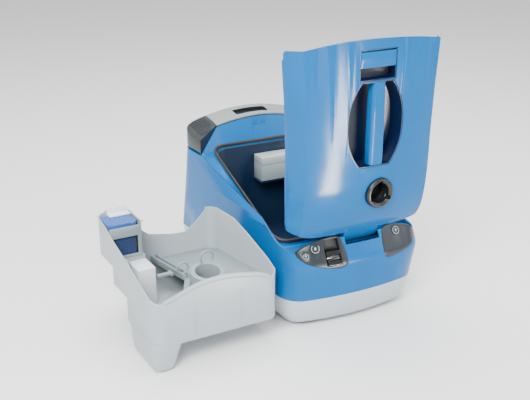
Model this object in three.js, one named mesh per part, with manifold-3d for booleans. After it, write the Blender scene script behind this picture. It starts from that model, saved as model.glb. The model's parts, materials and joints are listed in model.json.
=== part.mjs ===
// Canister washing vacuum cleaner with its hood open and its water filter tank lifted out
// and stood on the floor beside it. Millimetres, +Z up, the front faces -Y.
// The origin is the middle of the whole arrangement at floor level.

import * as THREE from 'three';
import Module from 'manifold-3d';
import { mergeVertices } from 'three/addons/utils/BufferGeometryUtils.js';

const wasm = await Module();
wasm.setup();

// ---------------------------------------------------------------- driving dimensions

const GAP = 0.35; // between pieces that touch
const WALL = 3; // moulded wall of the housing

// Housing, seen from above: a trapezium with a bowed front
const FRONT_Y = -200; // ends of the bowed front at the base seam
const FRONT_BOW = 17;
const REAR_Y = 247;
const FRONT_HALF = 139;
const REAR_HALF = 160;
const BASE_SEAM_Z = 61;
const NOSE_Z = 134; // height where the front bulges most
const NOSE_REACH = 22;
const BROW_Z = 182; // top of the front, where it has leant back again
const REAR_SHELF_Z = 236; // where the cap and the corner grilles start
const FLOOR_CLEARANCE = 8; // underside of the base above the floor

// Hood
const HINGE_Y = -190.6;
const HINGE_Z = 173.2;
const HOOD_REST_DEG = 90;
const HOOD_CLOSED_DEG = 10.5;
const HOOD_LENGTH = 340;
const HOOD_END_BOW = 15;
const HOOD_HALF = 151;
const HOOD_CROWN = 58;
const HOOD_WALL = 2.8;
const PIN_RADIUS = 3;
const PIN_GAP = 0.3;
const KNUCKLE_RADIUS = 6.5;
const KNUCKLE_HALF = 38;

// Grip recess, hose port and latch in the hood
const GRIP_CENTRE = 211; // along the hood from the hinge
const GRIP_LENGTH = 148;
const GRIP_WIDTH = 112;
const GRIP_DEPTH = 38;
const BAR_WIDTH = 28;
const BAR_OFFSET = 5; // right of the middle
const PORT_X = 14;
const PORT_CENTRE = 87;
const PORT_OUTER = 27;
const PORT_BORE = 18;
const PORT_PROUD = 7;
const LATCH_HALF = 36;
const LATCH_FOOT = 286;
const LATCH_HEAD = 338;

// Opening for the tank, with its rubber gasket
const OPENING_FRONT_Y = -136;
const OPENING_REAR_Y = 136;
const OPENING_FRONT_HALF = 123.5;
const OPENING_REAR_HALF = 127;
const RIM_FRONT_Z = 151;
const RIM_SLOPE = 0.372;
const GASKET_WIDTH = 6;
const GASKET_HEIGHT = 6;
const TUB_WALL = 2.4;
const TUB_FLOOR_Z = 66;
const TUB_WELL_Z = 24;

// Tank
const TANK_X = -283;
const TANK_Y = -221;
const TANK_YAW_DEG = 1.9;
const TANK_HALF = 118;
const TANK_LENGTH = 257;
const TANK_WALL = 2.6;
const TANK_FLOOR_Z = 50;
const LEG_WIDTH = 46;
const LEG_LENGTH = 113;
const TOWER_WIDTH = 66;
const TOWER_FLOOR_Z = 95;
const COLLAR_X = 6;
const COLLAR_Y = 50;
const COLLAR_TOP_Z = 144;
const COLLAR_OUTER = 30;
const COLLAR_BORE = 22;

// Castors
const WHEEL_RADIUS = 12;
const WHEEL_WIDTH = 11;
const CASTOR_TRAIL = 5;
const CASTOR_WELL = 21;
const STEM_RADIUS = 4;
const FRONT_CASTOR = { x: 84, y: -158 };
const REAR_CASTOR = { x: 112, y: 196 };

// ---------------------------------------------------------------- materials

function finish(colour, roughness, metalness = 0) {
  return new THREE.MeshStandardMaterial({ color: colour, roughness, metalness });
}

const BLUE = finish(0x0079c2, 0.25);
const NAVY = finish(0x0a3a70, 0.4);
const PALE_GREY = finish(0xd8dde0, 0.4);
const TANK_GREY = finish(0xc3cacf, 0.5);
const CAP_GREY = finish(0xa9aeb0, 0.45);
const ANTHRACITE = finish(0x3a3f44, 0.5);
const BLACK = finish(0x17191c, 0.5);
const RUBBER = finish(0x1a1a1a, 0.8);
const FOAM_BLUE = finish(0x1268c4, 0.95);
const FOAM_NAVY = finish(0x123a80, 0.95);
const STEEL = finish(0xb8bcc0, 0.3, 1);
const WHITE = finish(0xeceeef, 0.5);
const GREEN = finish(0x1f6b3a, 0.6);

// ---------------------------------------------------------------- solids

function solid(geometry) {
  const bare = geometry.index ? geometry.toNonIndexed() : geometry.clone();
  bare.deleteAttribute('normal');
  bare.deleteAttribute('uv');
  const merged = mergeVertices(bare, 1e-4);
  return new wasm.Manifold(new wasm.Mesh({
    numProp: 3,
    vertProperties: new Float32Array(merged.attributes.position.array),
    triVerts: new Uint32Array(merged.index.array),
  }));
}

function geometryOf(body) {
  const mesh = body.getMesh();
  const geometry = new THREE.BufferGeometry();
  geometry.setAttribute('position', new THREE.BufferAttribute(new Float32Array(mesh.vertProperties), 3));
  geometry.setIndex(new THREE.BufferAttribute(new Uint32Array(mesh.triVerts), 1));
  geometry.computeVertexNormals();
  return geometry;
}

function piece(parent, name, body, material) {
  const mesh = new THREE.Mesh(geometryOf(body), material);
  mesh.name = name;
  parent.add(mesh);
  return mesh;
}

function box(x0, x1, y0, y1, z0, z1) {
  const geometry = new THREE.BoxGeometry(x1 - x0, y1 - y0, z1 - z0);
  geometry.translate((x0 + x1) / 2, (y0 + y1) / 2, (z0 + z1) / 2);
  return solid(geometry);
}

// A cylinder along an axis, from a point, over a length
function rod(axis, x, y, z, radius, length, sides = 20) {
  const geometry = new THREE.CylinderGeometry(radius, radius, length, sides);
  geometry.translate(0, length / 2, 0);
  if (axis === 'x') geometry.rotateZ(-Math.PI / 2);
  if (axis === 'z') geometry.rotateX(Math.PI / 2);
  geometry.translate(x, y, z);
  return solid(geometry);
}

function outlinePrism(points, z0, z1) {
  const shape = new THREE.Shape(points.map(([x, y]) => new THREE.Vector2(x, y)));
  const geometry = new THREE.ExtrudeGeometry(shape, { depth: z1 - z0, bevelEnabled: false });
  geometry.translate(0, 0, z0);
  return solid(geometry);
}

// An outline in x and z, run along y
function frontPrism(points, y0, y1) {
  const shape = new THREE.Shape(points.map(([x, z]) => new THREE.Vector2(x, z)));
  const geometry = new THREE.ExtrudeGeometry(shape, { depth: y1 - y0, bevelEnabled: false });
  geometry.rotateX(Math.PI / 2);
  geometry.translate(0, y1, 0);
  return solid(geometry);
}

// An outline in y and z, run along x
function sidePrism(points, x0, x1) {
  const shape = new THREE.Shape(points.map(([y, z]) => new THREE.Vector2(y, z)));
  const geometry = new THREE.ExtrudeGeometry(shape, { depth: x1 - x0, bevelEnabled: false });
  geometry.rotateX(Math.PI / 2);
  geometry.rotateZ(Math.PI / 2);
  geometry.translate(x0, 0, 0);
  return solid(geometry);
}

function roundedRectangle(x0, x1, y0, y1, radius, steps = 4) {
  const points = [];
  const corners = [
    [x1 - radius, y0 + radius, -Math.PI / 2],
    [x1 - radius, y1 - radius, 0],
    [x0 + radius, y1 - radius, Math.PI / 2],
    [x0 + radius, y0 + radius, Math.PI],
  ];
  for (const [cx, cy, start] of corners) {
    for (let i = 0; i <= steps; i++) {
      const angle = start + (i / steps) * Math.PI / 2;
      points.push([cx + radius * Math.cos(angle), cy + radius * Math.sin(angle)]);
    }
  }
  return points;
}

function stitch(indices, lower, upper) {
  const n = lower.length;
  for (let k = 0; k < n; k++) {
    const next = (k + 1) % n;
    indices.push(lower[k], lower[next], upper[next], lower[k], upper[next], upper[k]);
  }
}

function indexed(positions, indices) {
  const geometry = new THREE.BufferGeometry();
  geometry.setAttribute('position', new THREE.Float32BufferAttribute(positions.flat(), 3));
  geometry.setIndex(indices);
  return solid(geometry);
}

// Rings of [x, y, z] points joined into a closed body: capped at both ends, or joined end to end
function loft(rings, capped = true) {
  const positions = rings.flat();
  const n = rings[0].length;
  const ids = rings.map((_, r) => rings[r].map((__, k) => r * n + k));
  const indices = [];
  for (let r = 0; r + 1 < ids.length; r++) stitch(indices, ids[r], ids[r + 1]);
  if (!capped) {
    stitch(indices, ids[ids.length - 1], ids[0]);
    return indexed(positions, indices);
  }
  for (const [ring, up] of [[ids[0], false], [ids[ids.length - 1], true]]) {
    const centre = [0, 1, 2].map((a) => ring.reduce((sum, i) => sum + positions[i][a], 0) / n);
    const c = positions.push(centre) - 1;
    for (let k = 0; k < n; k++) {
      const next = (k + 1) % n;
      if (up) indices.push(c, ring[k], ring[next]);
      else indices.push(c, ring[next], ring[k]);
    }
  }
  return indexed(positions, indices);
}

// A moulding over a grid: outer and inner surfaces, joined by a skirt down to the foot line
function gridShell(nu, nv, outer, inner, foot) {
  const positions = [];
  const indices = [];
  const grids = [outer, inner].map((surface) => {
    const grid = [];
    for (let i = 0; i <= nu; i++) {
      const row = [];
      for (let j = 0; j <= nv; j++) {
        row.push(positions.push(surface(i / nu * 2 - 1, j / nv)) - 1);
      }
      grid.push(row);
    }
    return grid;
  });
  for (const [g, grid] of grids.entries()) {
    for (let i = 0; i < nu; i++) {
      for (let j = 0; j < nv; j++) {
        const quad = [grid[i][j], grid[i + 1][j], grid[i + 1][j + 1], grid[i][j + 1]];
        if (g) quad.reverse();
        indices.push(quad[0], quad[1], quad[2], quad[0], quad[2], quad[3]);
      }
    }
  }
  const edges = grids.map((grid) => {
    const loop = [];
    for (let i = 0; i < nu; i++) loop.push(grid[i][0]);
    for (let j = 0; j < nv; j++) loop.push(grid[nu][j]);
    for (let i = nu; i > 0; i--) loop.push(grid[i][nv]);
    for (let j = nv; j > 0; j--) loop.push(grid[0][j]);
    return loop;
  });
  const feet = edges.map((loop) => loop.map((id) => {
    const [x, y] = positions[id];
    return positions.push(foot(x, y)) - 1;
  }));
  stitch(indices, edges[1], feet[1]);
  stitch(indices, feet[1], feet[0]);
  stitch(indices, feet[0], edges[0]);
  return indexed(positions, indices);
}

// Triangles of a closed body between two sheets of the same grid of point numbers
function sheetBody(top, bottom) {
  const indices = [];
  const columns = top.length;
  const rows = top[0].length;
  for (let i = 0; i + 1 < columns; i++) {
    for (let j = 0; j + 1 < rows; j++) {
      for (const [g, up] of [[top, true], [bottom, false]]) {
        const quad = [g[i][j], g[i + 1][j], g[i + 1][j + 1], g[i][j + 1]];
        if (!up) quad.reverse();
        indices.push(quad[0], quad[1], quad[2], quad[0], quad[2], quad[3]);
      }
    }
  }
  const edge = (g) => [
    ...g.slice(0, -1).map((column) => column[0]),
    ...g[columns - 1].slice(0, -1),
    ...g.slice(1).reverse().map((column) => column[rows - 1]),
    ...g[0].slice(1).reverse(),
  ];
  stitch(indices, edge(bottom), edge(top));
  return indices;
}

// Everything under a surface given as a height over x and y
function under(height, xs, ys, floor) {
  const positions = [];
  const grid = (z) => xs.map((x) => ys.map((y) => positions.push([x, y, z(x, y)]) - 1));
  const top = grid(height);
  const bottom = grid(() => floor);
  return indexed(positions, sheetBody(top, bottom));
}

function mix(a, b, t) {
  return a + (b - a) * t;
}

function clamp01(t) {
  return Math.min(1, Math.max(0, t));
}

function smooth(t) {
  const c = clamp01(t);
  return c * c * (3 - 2 * c);
}

// Straight lines between [position, value] pairs
function along(table, at) {
  if (at <= table[0][0]) return table[0][1];
  for (let i = 1; i < table.length; i++) {
    const [a, va] = table[i - 1];
    const [b, vb] = table[i];
    if (at <= b) return mix(va, vb, (at - a) / (b - a));
  }
  return table[table.length - 1][1];
}

// ---------------------------------------------------------------- housing outline

const SIDE_STEPS = 5;
const CORNER_STEPS = 3;
const BOW_STEPS = 4;
const REAR_STEPS = 2;

// Points of a bowed, round-cornered trapezium from the front's middle, counter-clockwise
function planRing(plan, inset = 0) {
  const front = plan.front + inset;
  const rear = plan.rear - inset;
  const halfFront = plan.halfFront - inset;
  const halfRear = plan.halfRear - inset;
  const rf = Math.max(4, plan.frontRadius - inset);
  const rr = Math.max(4, plan.rearRadius - inset);
  const bowAt = (x) => front - plan.bow * (1 - (x / halfFront) ** 2);
  const sideAt = (y) => mix(halfFront, halfRear, (y - front) / (rear - front));
  const bend = (a, b, c, t) => [0, 1].map((k) => mix(mix(a[k], b[k], t), mix(b[k], c[k], t), t));
  const right = [];
  for (let i = 0; i < BOW_STEPS; i++) {
    const x = (halfFront - rf) * i / BOW_STEPS;
    right.push([x, bowAt(x)]);
  }
  const start = [halfFront - rf, bowAt(halfFront - rf)];
  const end = [sideAt(front + rf), front + rf];
  for (let i = 0; i < CORNER_STEPS; i++) {
    right.push(bend(start, [halfFront, front - plan.bow * 0.12], end, i / CORNER_STEPS));
  }
  for (let i = 0; i < SIDE_STEPS; i++) {
    const y = mix(front + rf, rear - rr, i / SIDE_STEPS);
    right.push([sideAt(y), y]);
  }
  const back = [sideAt(rear - rr), rear - rr];
  for (let i = 0; i < CORNER_STEPS; i++) {
    right.push(bend(back, [halfRear, rear], [halfRear - rr, rear], i / CORNER_STEPS));
  }
  for (let i = 0; i <= REAR_STEPS; i++) right.push([(halfRear - rr) * (1 - i / REAR_STEPS), rear]);
  const left = right.slice(1, -1).reverse().map(([x, y]) => [-x, y]);
  return [...right, ...left];
}

const SECTIONS = [
  [BASE_SEAM_Z, { front: FRONT_Y, bow: FRONT_BOW, halfFront: FRONT_HALF, halfRear: REAR_HALF,
    frontRadius: 40, rearRadius: 20 }],
  [NOSE_Z, { front: FRONT_Y - NOSE_REACH, bow: FRONT_BOW + 3, halfFront: FRONT_HALF - 2,
    halfRear: REAR_HALF - 3, frontRadius: 46, rearRadius: 32 }],
  [BROW_Z, { front: FRONT_Y + 3, bow: FRONT_BOW + 1, halfFront: FRONT_HALF - 5,
    halfRear: REAR_HALF - 5, frontRadius: 46, rearRadius: 40 }],
  [REAR_SHELF_Z, { front: FRONT_Y + 3, bow: FRONT_BOW + 1, halfFront: FRONT_HALF - 7,
    halfRear: REAR_HALF - 7, frontRadius: 46, rearRadius: 46 }],
  [REAR_SHELF_Z + 60, { front: FRONT_Y + 3, bow: FRONT_BOW + 1, halfFront: FRONT_HALF - 9,
    halfRear: REAR_HALF - 9, frontRadius: 46, rearRadius: 56 }],
];

function planAt(z) {
  const plan = { rear: REAR_Y };
  for (const key of ['front', 'bow', 'halfFront', 'halfRear', 'frontRadius', 'rearRadius']) {
    plan[key] = along(SECTIONS.map(([height, section]) => [height, section[key]]), z);
  }
  return plan;
}

function housingRing(z, inset = 0) {
  return planRing(planAt(z), inset).map(([x, y]) => [x, y, z]);
}

// Whole outer form of the housing, inset by a wall, used to cut and fit what follows it
const FORM_LEVELS = [BASE_SEAM_Z, 85, 110, NOSE_Z, 158, BROW_Z, REAR_SHELF_Z];

function housingForm(inset) {
  return loft(FORM_LEVELS.map((z) => housingRing(z, inset)));
}

function housingBlock(inset, foot) {
  const levels = [foot, ...FORM_LEVELS.slice(1), REAR_SHELF_Z + 70];
  return loft(levels.map((z) => housingRing(z, inset)));
}

function hoodPlane(y) {
  return HINGE_Z + Math.tan(THREE.MathUtils.degToRad(HOOD_CLOSED_DEG)) * (y - HINGE_Y);
}

function rimHeight(y) {
  return RIM_FRONT_Z + RIM_SLOPE * (y - OPENING_FRONT_Y);
}

function rearTop(x) {
  return 304 - 15 * (x / 100) ** 2 + 1.2 * (x / 100) ** 4;
}

// Top edge of the housing's outer wall at a point of its outline
function edgeHeight(x, y) {
  const brow = mix(BROW_Z - 4, 158, smooth((Math.abs(x) - 50) / 80));
  const side = Math.min(REAR_SHELF_Z, hoodPlane(y) - 1);
  return mix(brow, side, smooth((y + 178) / 90));
}

const OPENING = { front: OPENING_FRONT_Y, bow: 4, halfFront: OPENING_FRONT_HALF, rear: OPENING_REAR_Y,
  halfRear: OPENING_REAR_HALF, frontRadius: 26, rearRadius: 26 };
const RIDGE_HALF = 95;
const RIDGE_Y = 188;
const DECK_FOOT_Y = 164;
const CORNER_Y = 150;

function openingRing(grow, z) {
  return planRing(OPENING, -grow).map(([x, y]) => [x, y, z === undefined ? rimHeight(y) : z]);
}

const LEDGE_FRONT_Y = OPENING_FRONT_Y - GASKET_WIDTH - 6;
const LEDGE_DROP = 3; // ledge below the rim beside the gasket
const FACE_WALL = 5;

function deckT(x) {
  return clamp01((Math.abs(x) - RIDGE_HALF) / (CORNER_Y - 1 - RIDGE_HALF));
}

function ridgeHeight(x) {
  const flat = Math.min(Math.abs(x), RIDGE_HALF);
  return mix(rearHeight(flat, RIDGE_Y) - WALL - 2 * GAP, REAR_SHELF_Z, deckT(x));
}

function ledgeHeight(x, y) {
  const inner = openingHalf(y) + GASKET_WIDTH + 1;
  const outer = housingHalf(y) - 3;
  const aside = clamp01((Math.abs(x) - inner) / (outer - inner));
  const ahead = clamp01((LEDGE_FRONT_Y - y) / 66);
  const edge = edgeHeight(x, y);
  const open = mix(rimHeight(Math.max(y, LEDGE_FRONT_Y)) - LEDGE_DROP, edge, Math.max(aside, ahead));
  return mix(open, REAR_SHELF_Z, smooth((y - 112) / 28));
}

function openingHalf(y) {
  const t = (y - OPENING_FRONT_Y) / (OPENING_REAR_Y - OPENING_FRONT_Y);
  return mix(OPENING_FRONT_HALF, OPENING_REAR_HALF, t);
}

function housingHalf(y) {
  const plan = planAt(BROW_Z);
  return mix(plan.halfFront, plan.halfRear, (y - plan.front) / (REAR_Y - plan.front));
}

const TOP_YS = [
  -270, -222, -205, -190, -176, -162, LEDGE_FRONT_Y, OPENING_FRONT_Y, -100, -50, 0, 50, 112, 140,
];

// Everything under the housing's top: side ledges, deck face, ridge and the shelf under the cap
function underTop(drop, faceDrop) {
  const columns = [0, 0.5, 1, 2, 3, 4, 5];
  const signed = [...columns.slice(1).reverse().map((c) => -c), ...columns];
  const positions = [];
  const xAt = (c, y) => {
    const inner = openingHalf(y) + GASKET_WIDTH + 1;
    const outer = housingHalf(y);
    const places = [[0, 0], [0.5, RIDGE_HALF / 2], [1, RIDGE_HALF], [2, inner], [3, (inner + outer) / 2],
      [4, outer - 2], [5, outer + 30]];
    return Math.sign(c) * along(places, Math.abs(c));
  };
  const rows = TOP_YS.map((y) => (c) => {
    const x = xAt(c, y);
    return [x, y, ledgeHeight(x, y) - drop];
  });
  const late = (place, height, cut) => (c) => {
    const x = xAt(c, CORNER_Y);
    return [x, place(deckT(x)), height(x) - cut];
  };
  rows.push(late((t) => mix(DECK_FOOT_Y, CORNER_Y - 4, t), () => REAR_SHELF_Z + 0.5, faceDrop));
  rows.push(late((t) => mix(RIDGE_Y, CORNER_Y, t), ridgeHeight, faceDrop));
  rows.push(late((t) => mix(RIDGE_Y + 5, CORNER_Y + 2, t), (x) => ridgeHeight(x) - 0.5, faceDrop));
  rows.push(late((t) => mix(REAR_Y - 9, CORNER_Y + 8, t), () => REAR_SHELF_Z, faceDrop));
  rows.push(late(() => REAR_Y + 30, () => REAR_SHELF_Z, faceDrop));
  const top = signed.map((c) => rows.map((row) => positions.push(row(c)) - 1));
  const bottom = top.map((column) => column.map((id) => {
    const [x, y] = positions[id];
    return positions.push([x, y, 0]) - 1;
  }));
  return indexed(positions, sheetBody(top, bottom));
}

function bodyShell() {
  const outer = housingBlock(0, BASE_SEAM_Z + GAP).intersect(underTop(0, 0));
  const inner = housingBlock(WALL, BASE_SEAM_Z - 5).intersect(underTop(WALL, FACE_WALL));
  const flat = (grow) => outlinePrism(openingRing(grow, 0).map(([x, y]) => [x, y]), 40, 330);
  const xs = [-170, 170];
  const ys = [-200, 200];
  const collar = flat(GASKET_WIDTH).intersect(under((x, y) => rimHeight(y), xs, ys, 40))
    .subtract(under((x, y) => rimHeight(y) - 24, xs, ys, 30));
  return outer.subtract(inner).add(collar).subtract(flat(0));
}

// Rod with its own centre line between two points
function strut(from, to, radius, sides = 12) {
  const a = new THREE.Vector3(...from);
  const b = new THREE.Vector3(...to);
  const direction = b.clone().sub(a);
  const geometry = new THREE.CylinderGeometry(radius, radius, direction.length(), sides);
  geometry.translate(0, direction.length() / 2, 0);
  const turn = new THREE.Quaternion().setFromUnitVectors(new THREE.Vector3(0, 1, 0), direction.normalize());
  geometry.applyQuaternion(turn);
  geometry.translate(a.x, a.y, a.z);
  return solid(geometry);
}

function ringLoop(x, y, z, radius, thickness) {
  const geometry = new THREE.TorusGeometry(radius, thickness, 5, 12);
  geometry.rotateX(Math.PI / 2);
  geometry.translate(x, y, z);
  return solid(geometry);
}

function joined(...bodies) {
  return bodies.reduce((sum, body) => sum.add(body));
}

// ---------------------------------------------------------------- base and castors

const CASTORS = {
  front_left: [-FRONT_CASTOR.x, FRONT_CASTOR.y],
  front_right: [FRONT_CASTOR.x, FRONT_CASTOR.y],
  rear_left: [-REAR_CASTOR.x, REAR_CASTOR.y],
  rear_right: [REAR_CASTOR.x, REAR_CASTOR.y],
};
const WELL_TOP_Z = 2 * WHEEL_RADIUS + 8;
const WELL_WALL = 2;
const BASE_FLOOR = 3;

function baseRing(z, inset) {
  return housingRing(BASE_SEAM_Z, inset).map(([x, y]) => [x, y, z]);
}

function basePan() {
  const floorTop = FLOOR_CLEARANCE + BASE_FLOOR;
  let pan = loft([
    baseRing(FLOOR_CLEARANCE, 22), baseRing(FLOOR_CLEARANCE + 5, 14), baseRing(30, 6),
    baseRing(BASE_SEAM_Z, 0), baseRing(BASE_SEAM_Z, WALL), baseRing(30, 6 + WALL),
    baseRing(FLOOR_CLEARANCE + 7, 15 + WALL), baseRing(floorTop, 25),
  ]);
  for (const [x, y] of Object.values(CASTORS)) {
    pan = pan.add(rod('z', x, y, FLOOR_CLEARANCE, CASTOR_WELL + WELL_WALL,
      WELL_TOP_Z + WELL_WALL - FLOOR_CLEARANCE, 16));
  }
  for (const [x, y] of Object.values(CASTORS)) {
    pan = pan.subtract(rod('z', x, y, -1, CASTOR_WELL, WELL_TOP_Z + 1, 16));
    pan = pan.subtract(rod('z', x, y, WELL_TOP_Z - 1, STEM_RADIUS + GAP, 12, 10));
  }
  return pan;
}

function castorFork(x, y) {
  const plateZ = 2 * WHEEL_RADIUS + 3;
  const half = WHEEL_WIDTH / 2 + GAP;
  const plate = rod('z', x, y, plateZ, 12, 3, 12);
  const cheek = box(x - 1, x + 1, y - 5, y + CASTOR_TRAIL + 5, WHEEL_RADIUS - 4, plateZ + 1);
  const axle = rod('x', x - half - 1, y + CASTOR_TRAIL, WHEEL_RADIUS, 2, 2 * half + 2, 8);
  const stem = rod('z', x, y, plateZ + 1, STEM_RADIUS, WELL_TOP_Z + 6 - plateZ, 10);
  return joined(plate, cheek.translate([half + 1, 0, 0]), cheek.translate([-half - 1, 0, 0]), axle, stem);
}

function castorWheel(x, y) {
  const bore = rod('x', x - WHEEL_WIDTH, y + CASTOR_TRAIL, WHEEL_RADIUS, 2 + GAP, 2 * WHEEL_WIDTH, 8);
  const rim = rod('x', x - WHEEL_WIDTH / 2, y + CASTOR_TRAIL, WHEEL_RADIUS, WHEEL_RADIUS, WHEEL_WIDTH, 20);
  return rim.subtract(bore);
}

// ---------------------------------------------------------------- front: panels, buttons, hinge seat

const PANEL_HALF_OUTLINE = [[46, 181], [82, 178], [114, 167], [128, 154], [118, 144], [105, 138],
  [74, 129], [39, 127], [38, 150], [41, 166]];
const SLIDER = { x: -64, half: 13, foot: 135.5, height: 23, travel: 18 };
const SLIDER_WELL = { half: 14.5, foot: 133.5, head: 177 };
const BUTTONS = {
  power_button: { x: -94, z: 164, radius: 8 },
  pump_button: { x: -111, z: 153, radius: 5.5 },
  rewind_button: { x: 74, z: 168, radius: 8 },
};
const BUTTON_PROUD = 1.4;
const BUTTON_DEPTH = 8;
const SADDLE_HALF = 47;
const SADDLE_FRONT_Y = -203;
const SADDLE_REAR_Y = -178;
const SADDLE_FLOOR_Z = 158;
const TAB_NOTCH_HALF = 35.5;
const TAB_NOTCH_Z = 163.5;

function panelOutline(side, grow = 0) {
  const cx = 82;
  const cz = 154;
  return PANEL_HALF_OUTLINE.map(([x, z]) => [
    side * (x + Math.sign(x - cx) * grow),
    z + Math.sign(z - cz) * grow,
  ]);
}

function frontSurface(x, z) {
  const plan = planAt(z);
  const flat = plan.front - plan.bow * (1 - (x / plan.halfFront) ** 2);
  const corner = Math.max(0, Math.abs(x) - (plan.halfFront - plan.frontRadius));
  return flat + 0.5 * corner ** 2 / plan.frontRadius;
}

function frontNormal(x, z) {
  const step = 2;
  const dx = (frontSurface(x + step, z) - frontSurface(x - step, z)) / (2 * step);
  const dz = (frontSurface(x, z + step) - frontSurface(x, z - step)) / (2 * step);
  return new THREE.Vector3(dx, -1, dz).normalize();
}

function frontStub({ x, z, radius }, out, depth, grow = 0) {
  const normal = frontNormal(x, z);
  const at = new THREE.Vector3(x, frontSurface(x, z), z);
  const from = at.clone().addScaledVector(normal, -depth);
  const to = at.clone().addScaledVector(normal, out);
  return strut(from.toArray(), to.toArray(), radius + grow, 24);
}

const form = housingForm(0);
const formInner = housingForm(WALL);
const skin = form.subtract(formInner);

function controlPanel(side) {
  let panel = skin.intersect(frontPrism(panelOutline(side), -300, -150));
  for (const button of Object.values(BUTTONS)) {
    if (Math.sign(button.x) === side) panel = panel.subtract(frontStub(button, 20, 20, GAP));
  }
  if (side < 0) {
    const { half, foot, head } = SLIDER_WELL;
    panel = panel.subtract(box(SLIDER.x - half, SLIDER.x + half, -300, -150, foot, head));
  }
  return panel;
}

function sliderWell() {
  const { half, foot, head } = SLIDER_WELL;
  const tray = housingForm(WALL + GAP).intersect(
    box(SLIDER.x - half - 2, SLIDER.x + half + 2, -300, -190, foot - 1.5, head + 1.5));
  const hollow = housingForm(11).intersect(
    box(SLIDER.x - half - 3, SLIDER.x + half + 3, -300, -180, foot - 3, head + 3));
  const slot = box(SLIDER.x - half, SLIDER.x + half, -300, -150, foot, head);
  const channel = slot.subtract(housingForm(9));
  return tray.subtract(hollow).subtract(channel);
}

function suctionSlider() {
  const { x, half, foot, height } = SLIDER;
  const block = housingForm(-1.5).subtract(housingForm(8));
  const knob = block.intersect(box(x - half, x + half, -300, -150, foot, foot + height));
  const grip = rod('x', x - half - 1, frontSurface(x, foot + 13) - 5.5, foot + 13, 6, 2 * half + 2, 20);
  return knob.subtract(grip);
}

function hingeSaddle() {
  const f = SADDLE_FRONT_Y + GAP;
  const r = SADDLE_REAR_Y - GAP;
  const half = SADDLE_HALF - GAP;
  const floor = box(-half, half, f, r, SADDLE_FLOOR_Z - 3, SADDLE_FLOOR_Z);
  const back = box(-half, half, r - 2.5, r, SADDLE_FLOOR_Z - 1, HINGE_Z - 10);
  const ears = [-1, 1].map((side) => {
    const inner = side * (KNUCKLE_HALF + GAP);
    const [x0, x1] = [Math.min(inner, side * half), Math.max(inner, side * half)];
    return box(x0, x1, HINGE_Y - 6, HINGE_Y + 6, SADDLE_FLOOR_Z - 1, HINGE_Z + 6);
  });
  const bore = rod('x', -60, HINGE_Y, HINGE_Z, PIN_RADIUS + PIN_GAP, 120, 16);
  return joined(floor, back, ...ears).subtract(bore);
}

// ---------------------------------------------------------------- rear cap and corner grilles

const SLOT = { x0: -42, x1: 34, y0: 202, y1: 230, depth: 9 };

function rearHeight(x, y) {
  return rearTop(x) - 7 * clamp01((REAR_Y - y) / 60) ** 2;
}

function rearCover(inset) {
  const ring = planRing(planAt(REAR_SHELF_Z + 8), inset).map(([x, y]) => [x, y]);
  const prism = outlinePrism(ring, REAR_SHELF_Z + GAP, 330);
  const xs = [-170, -145, -120, -RIDGE_HALF, -64, -32, 0, 32, 64, RIDGE_HALF, 120, 145, 170];
  const dome = under((x, y) => rearHeight(x, y) - inset, xs, [120, 160, 190, 210, 230, 260], 200);
  return prism.intersect(dome);
}

const COVER_PLAN = [[-CORNER_Y - 20, CORNER_Y + 1], [-CORNER_Y + 1, CORNER_Y + 1], [-RIDGE_HALF, RIDGE_Y + 2],
  [RIDGE_HALF, RIDGE_Y + 2], [CORNER_Y - 1, CORNER_Y + 1], [CORNER_Y + 20, CORNER_Y + 1],
  [CORNER_Y + 20, REAR_Y + 20], [-CORNER_Y - 20, REAR_Y + 20]];

function rearMoulding() {
  const plan = outlinePrism(COVER_PLAN, 200, 340);
  return rearCover(0).intersect(plan).subtract(rearCover(WALL).translate([0, 0, -GAP]))
    .subtract(box(-200, 200, 100, REAR_Y - WALL - 1, 200, REAR_SHELF_Z + 6));
}

const moulding = rearMoulding();

function rearCap() {
  const half = RIDGE_HALF - GAP;
  const middle = moulding.intersect(box(-half, half, 100, 300, 200, 340));
  const { x0, x1, y0, y1, depth } = SLOT;
  const floor = rearTop(0) - depth;
  const tray = box(x0 - 2, x1 + 2, y0 - 2, y1 + 2, floor - 2, 303).intersect(rearCover(1));
  return middle.add(tray).subtract(box(x0, x1, y0, y1, floor, 340));
}

function cornerGrille(side) {
  const x0 = side > 0 ? RIDGE_HALF + GAP : -200;
  const x1 = side > 0 ? 200 : -RIDGE_HALF - GAP;
  let grille = moulding.intersect(box(x0, x1, 100, 300, 200, 340));
  for (let i = 0; i < 5; i++) {
    const y = 172 + i * 14;
    const inner = RIDGE_HALF + 8 + Math.max(0, 14 - i * 7);
    const [low, high] = [side * inner, side * 138].sort((a, b) => a - b);
    const slot = box(low, high, y, y + 4, 262, 340);
    grille = grille.subtract(slot);
  }
  return grille;
}

// ---------------------------------------------------------------- tub, gasket and works

const LEG_WELL = { x0: -121, x1: -66, y0: -133.5, y1: -14 };
const FOOT_WELL = { x0: 54, x1: 121, y0: 10, y1: 123 };
const TUB_OUTER_INSET = 0.5;
const MOTOR = { x: -45, y: 193, radius: 44, foot: 38, head: 150 };
const REEL = { x: 70, y: 193, hub: 16, flange: 44, foot: 62, head: 100, post: 6 };
const DUCT = { x0: -63, x1: 10, foot: 150.4, head: 215, mouthFoot: 180 };
const CASSETTE = { x0: -37, x1: 78, y0: 96, y1: 132, z0: 181, z1: 214, cover: 16.5 };
const SHELF_THICKNESS = 4;

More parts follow.
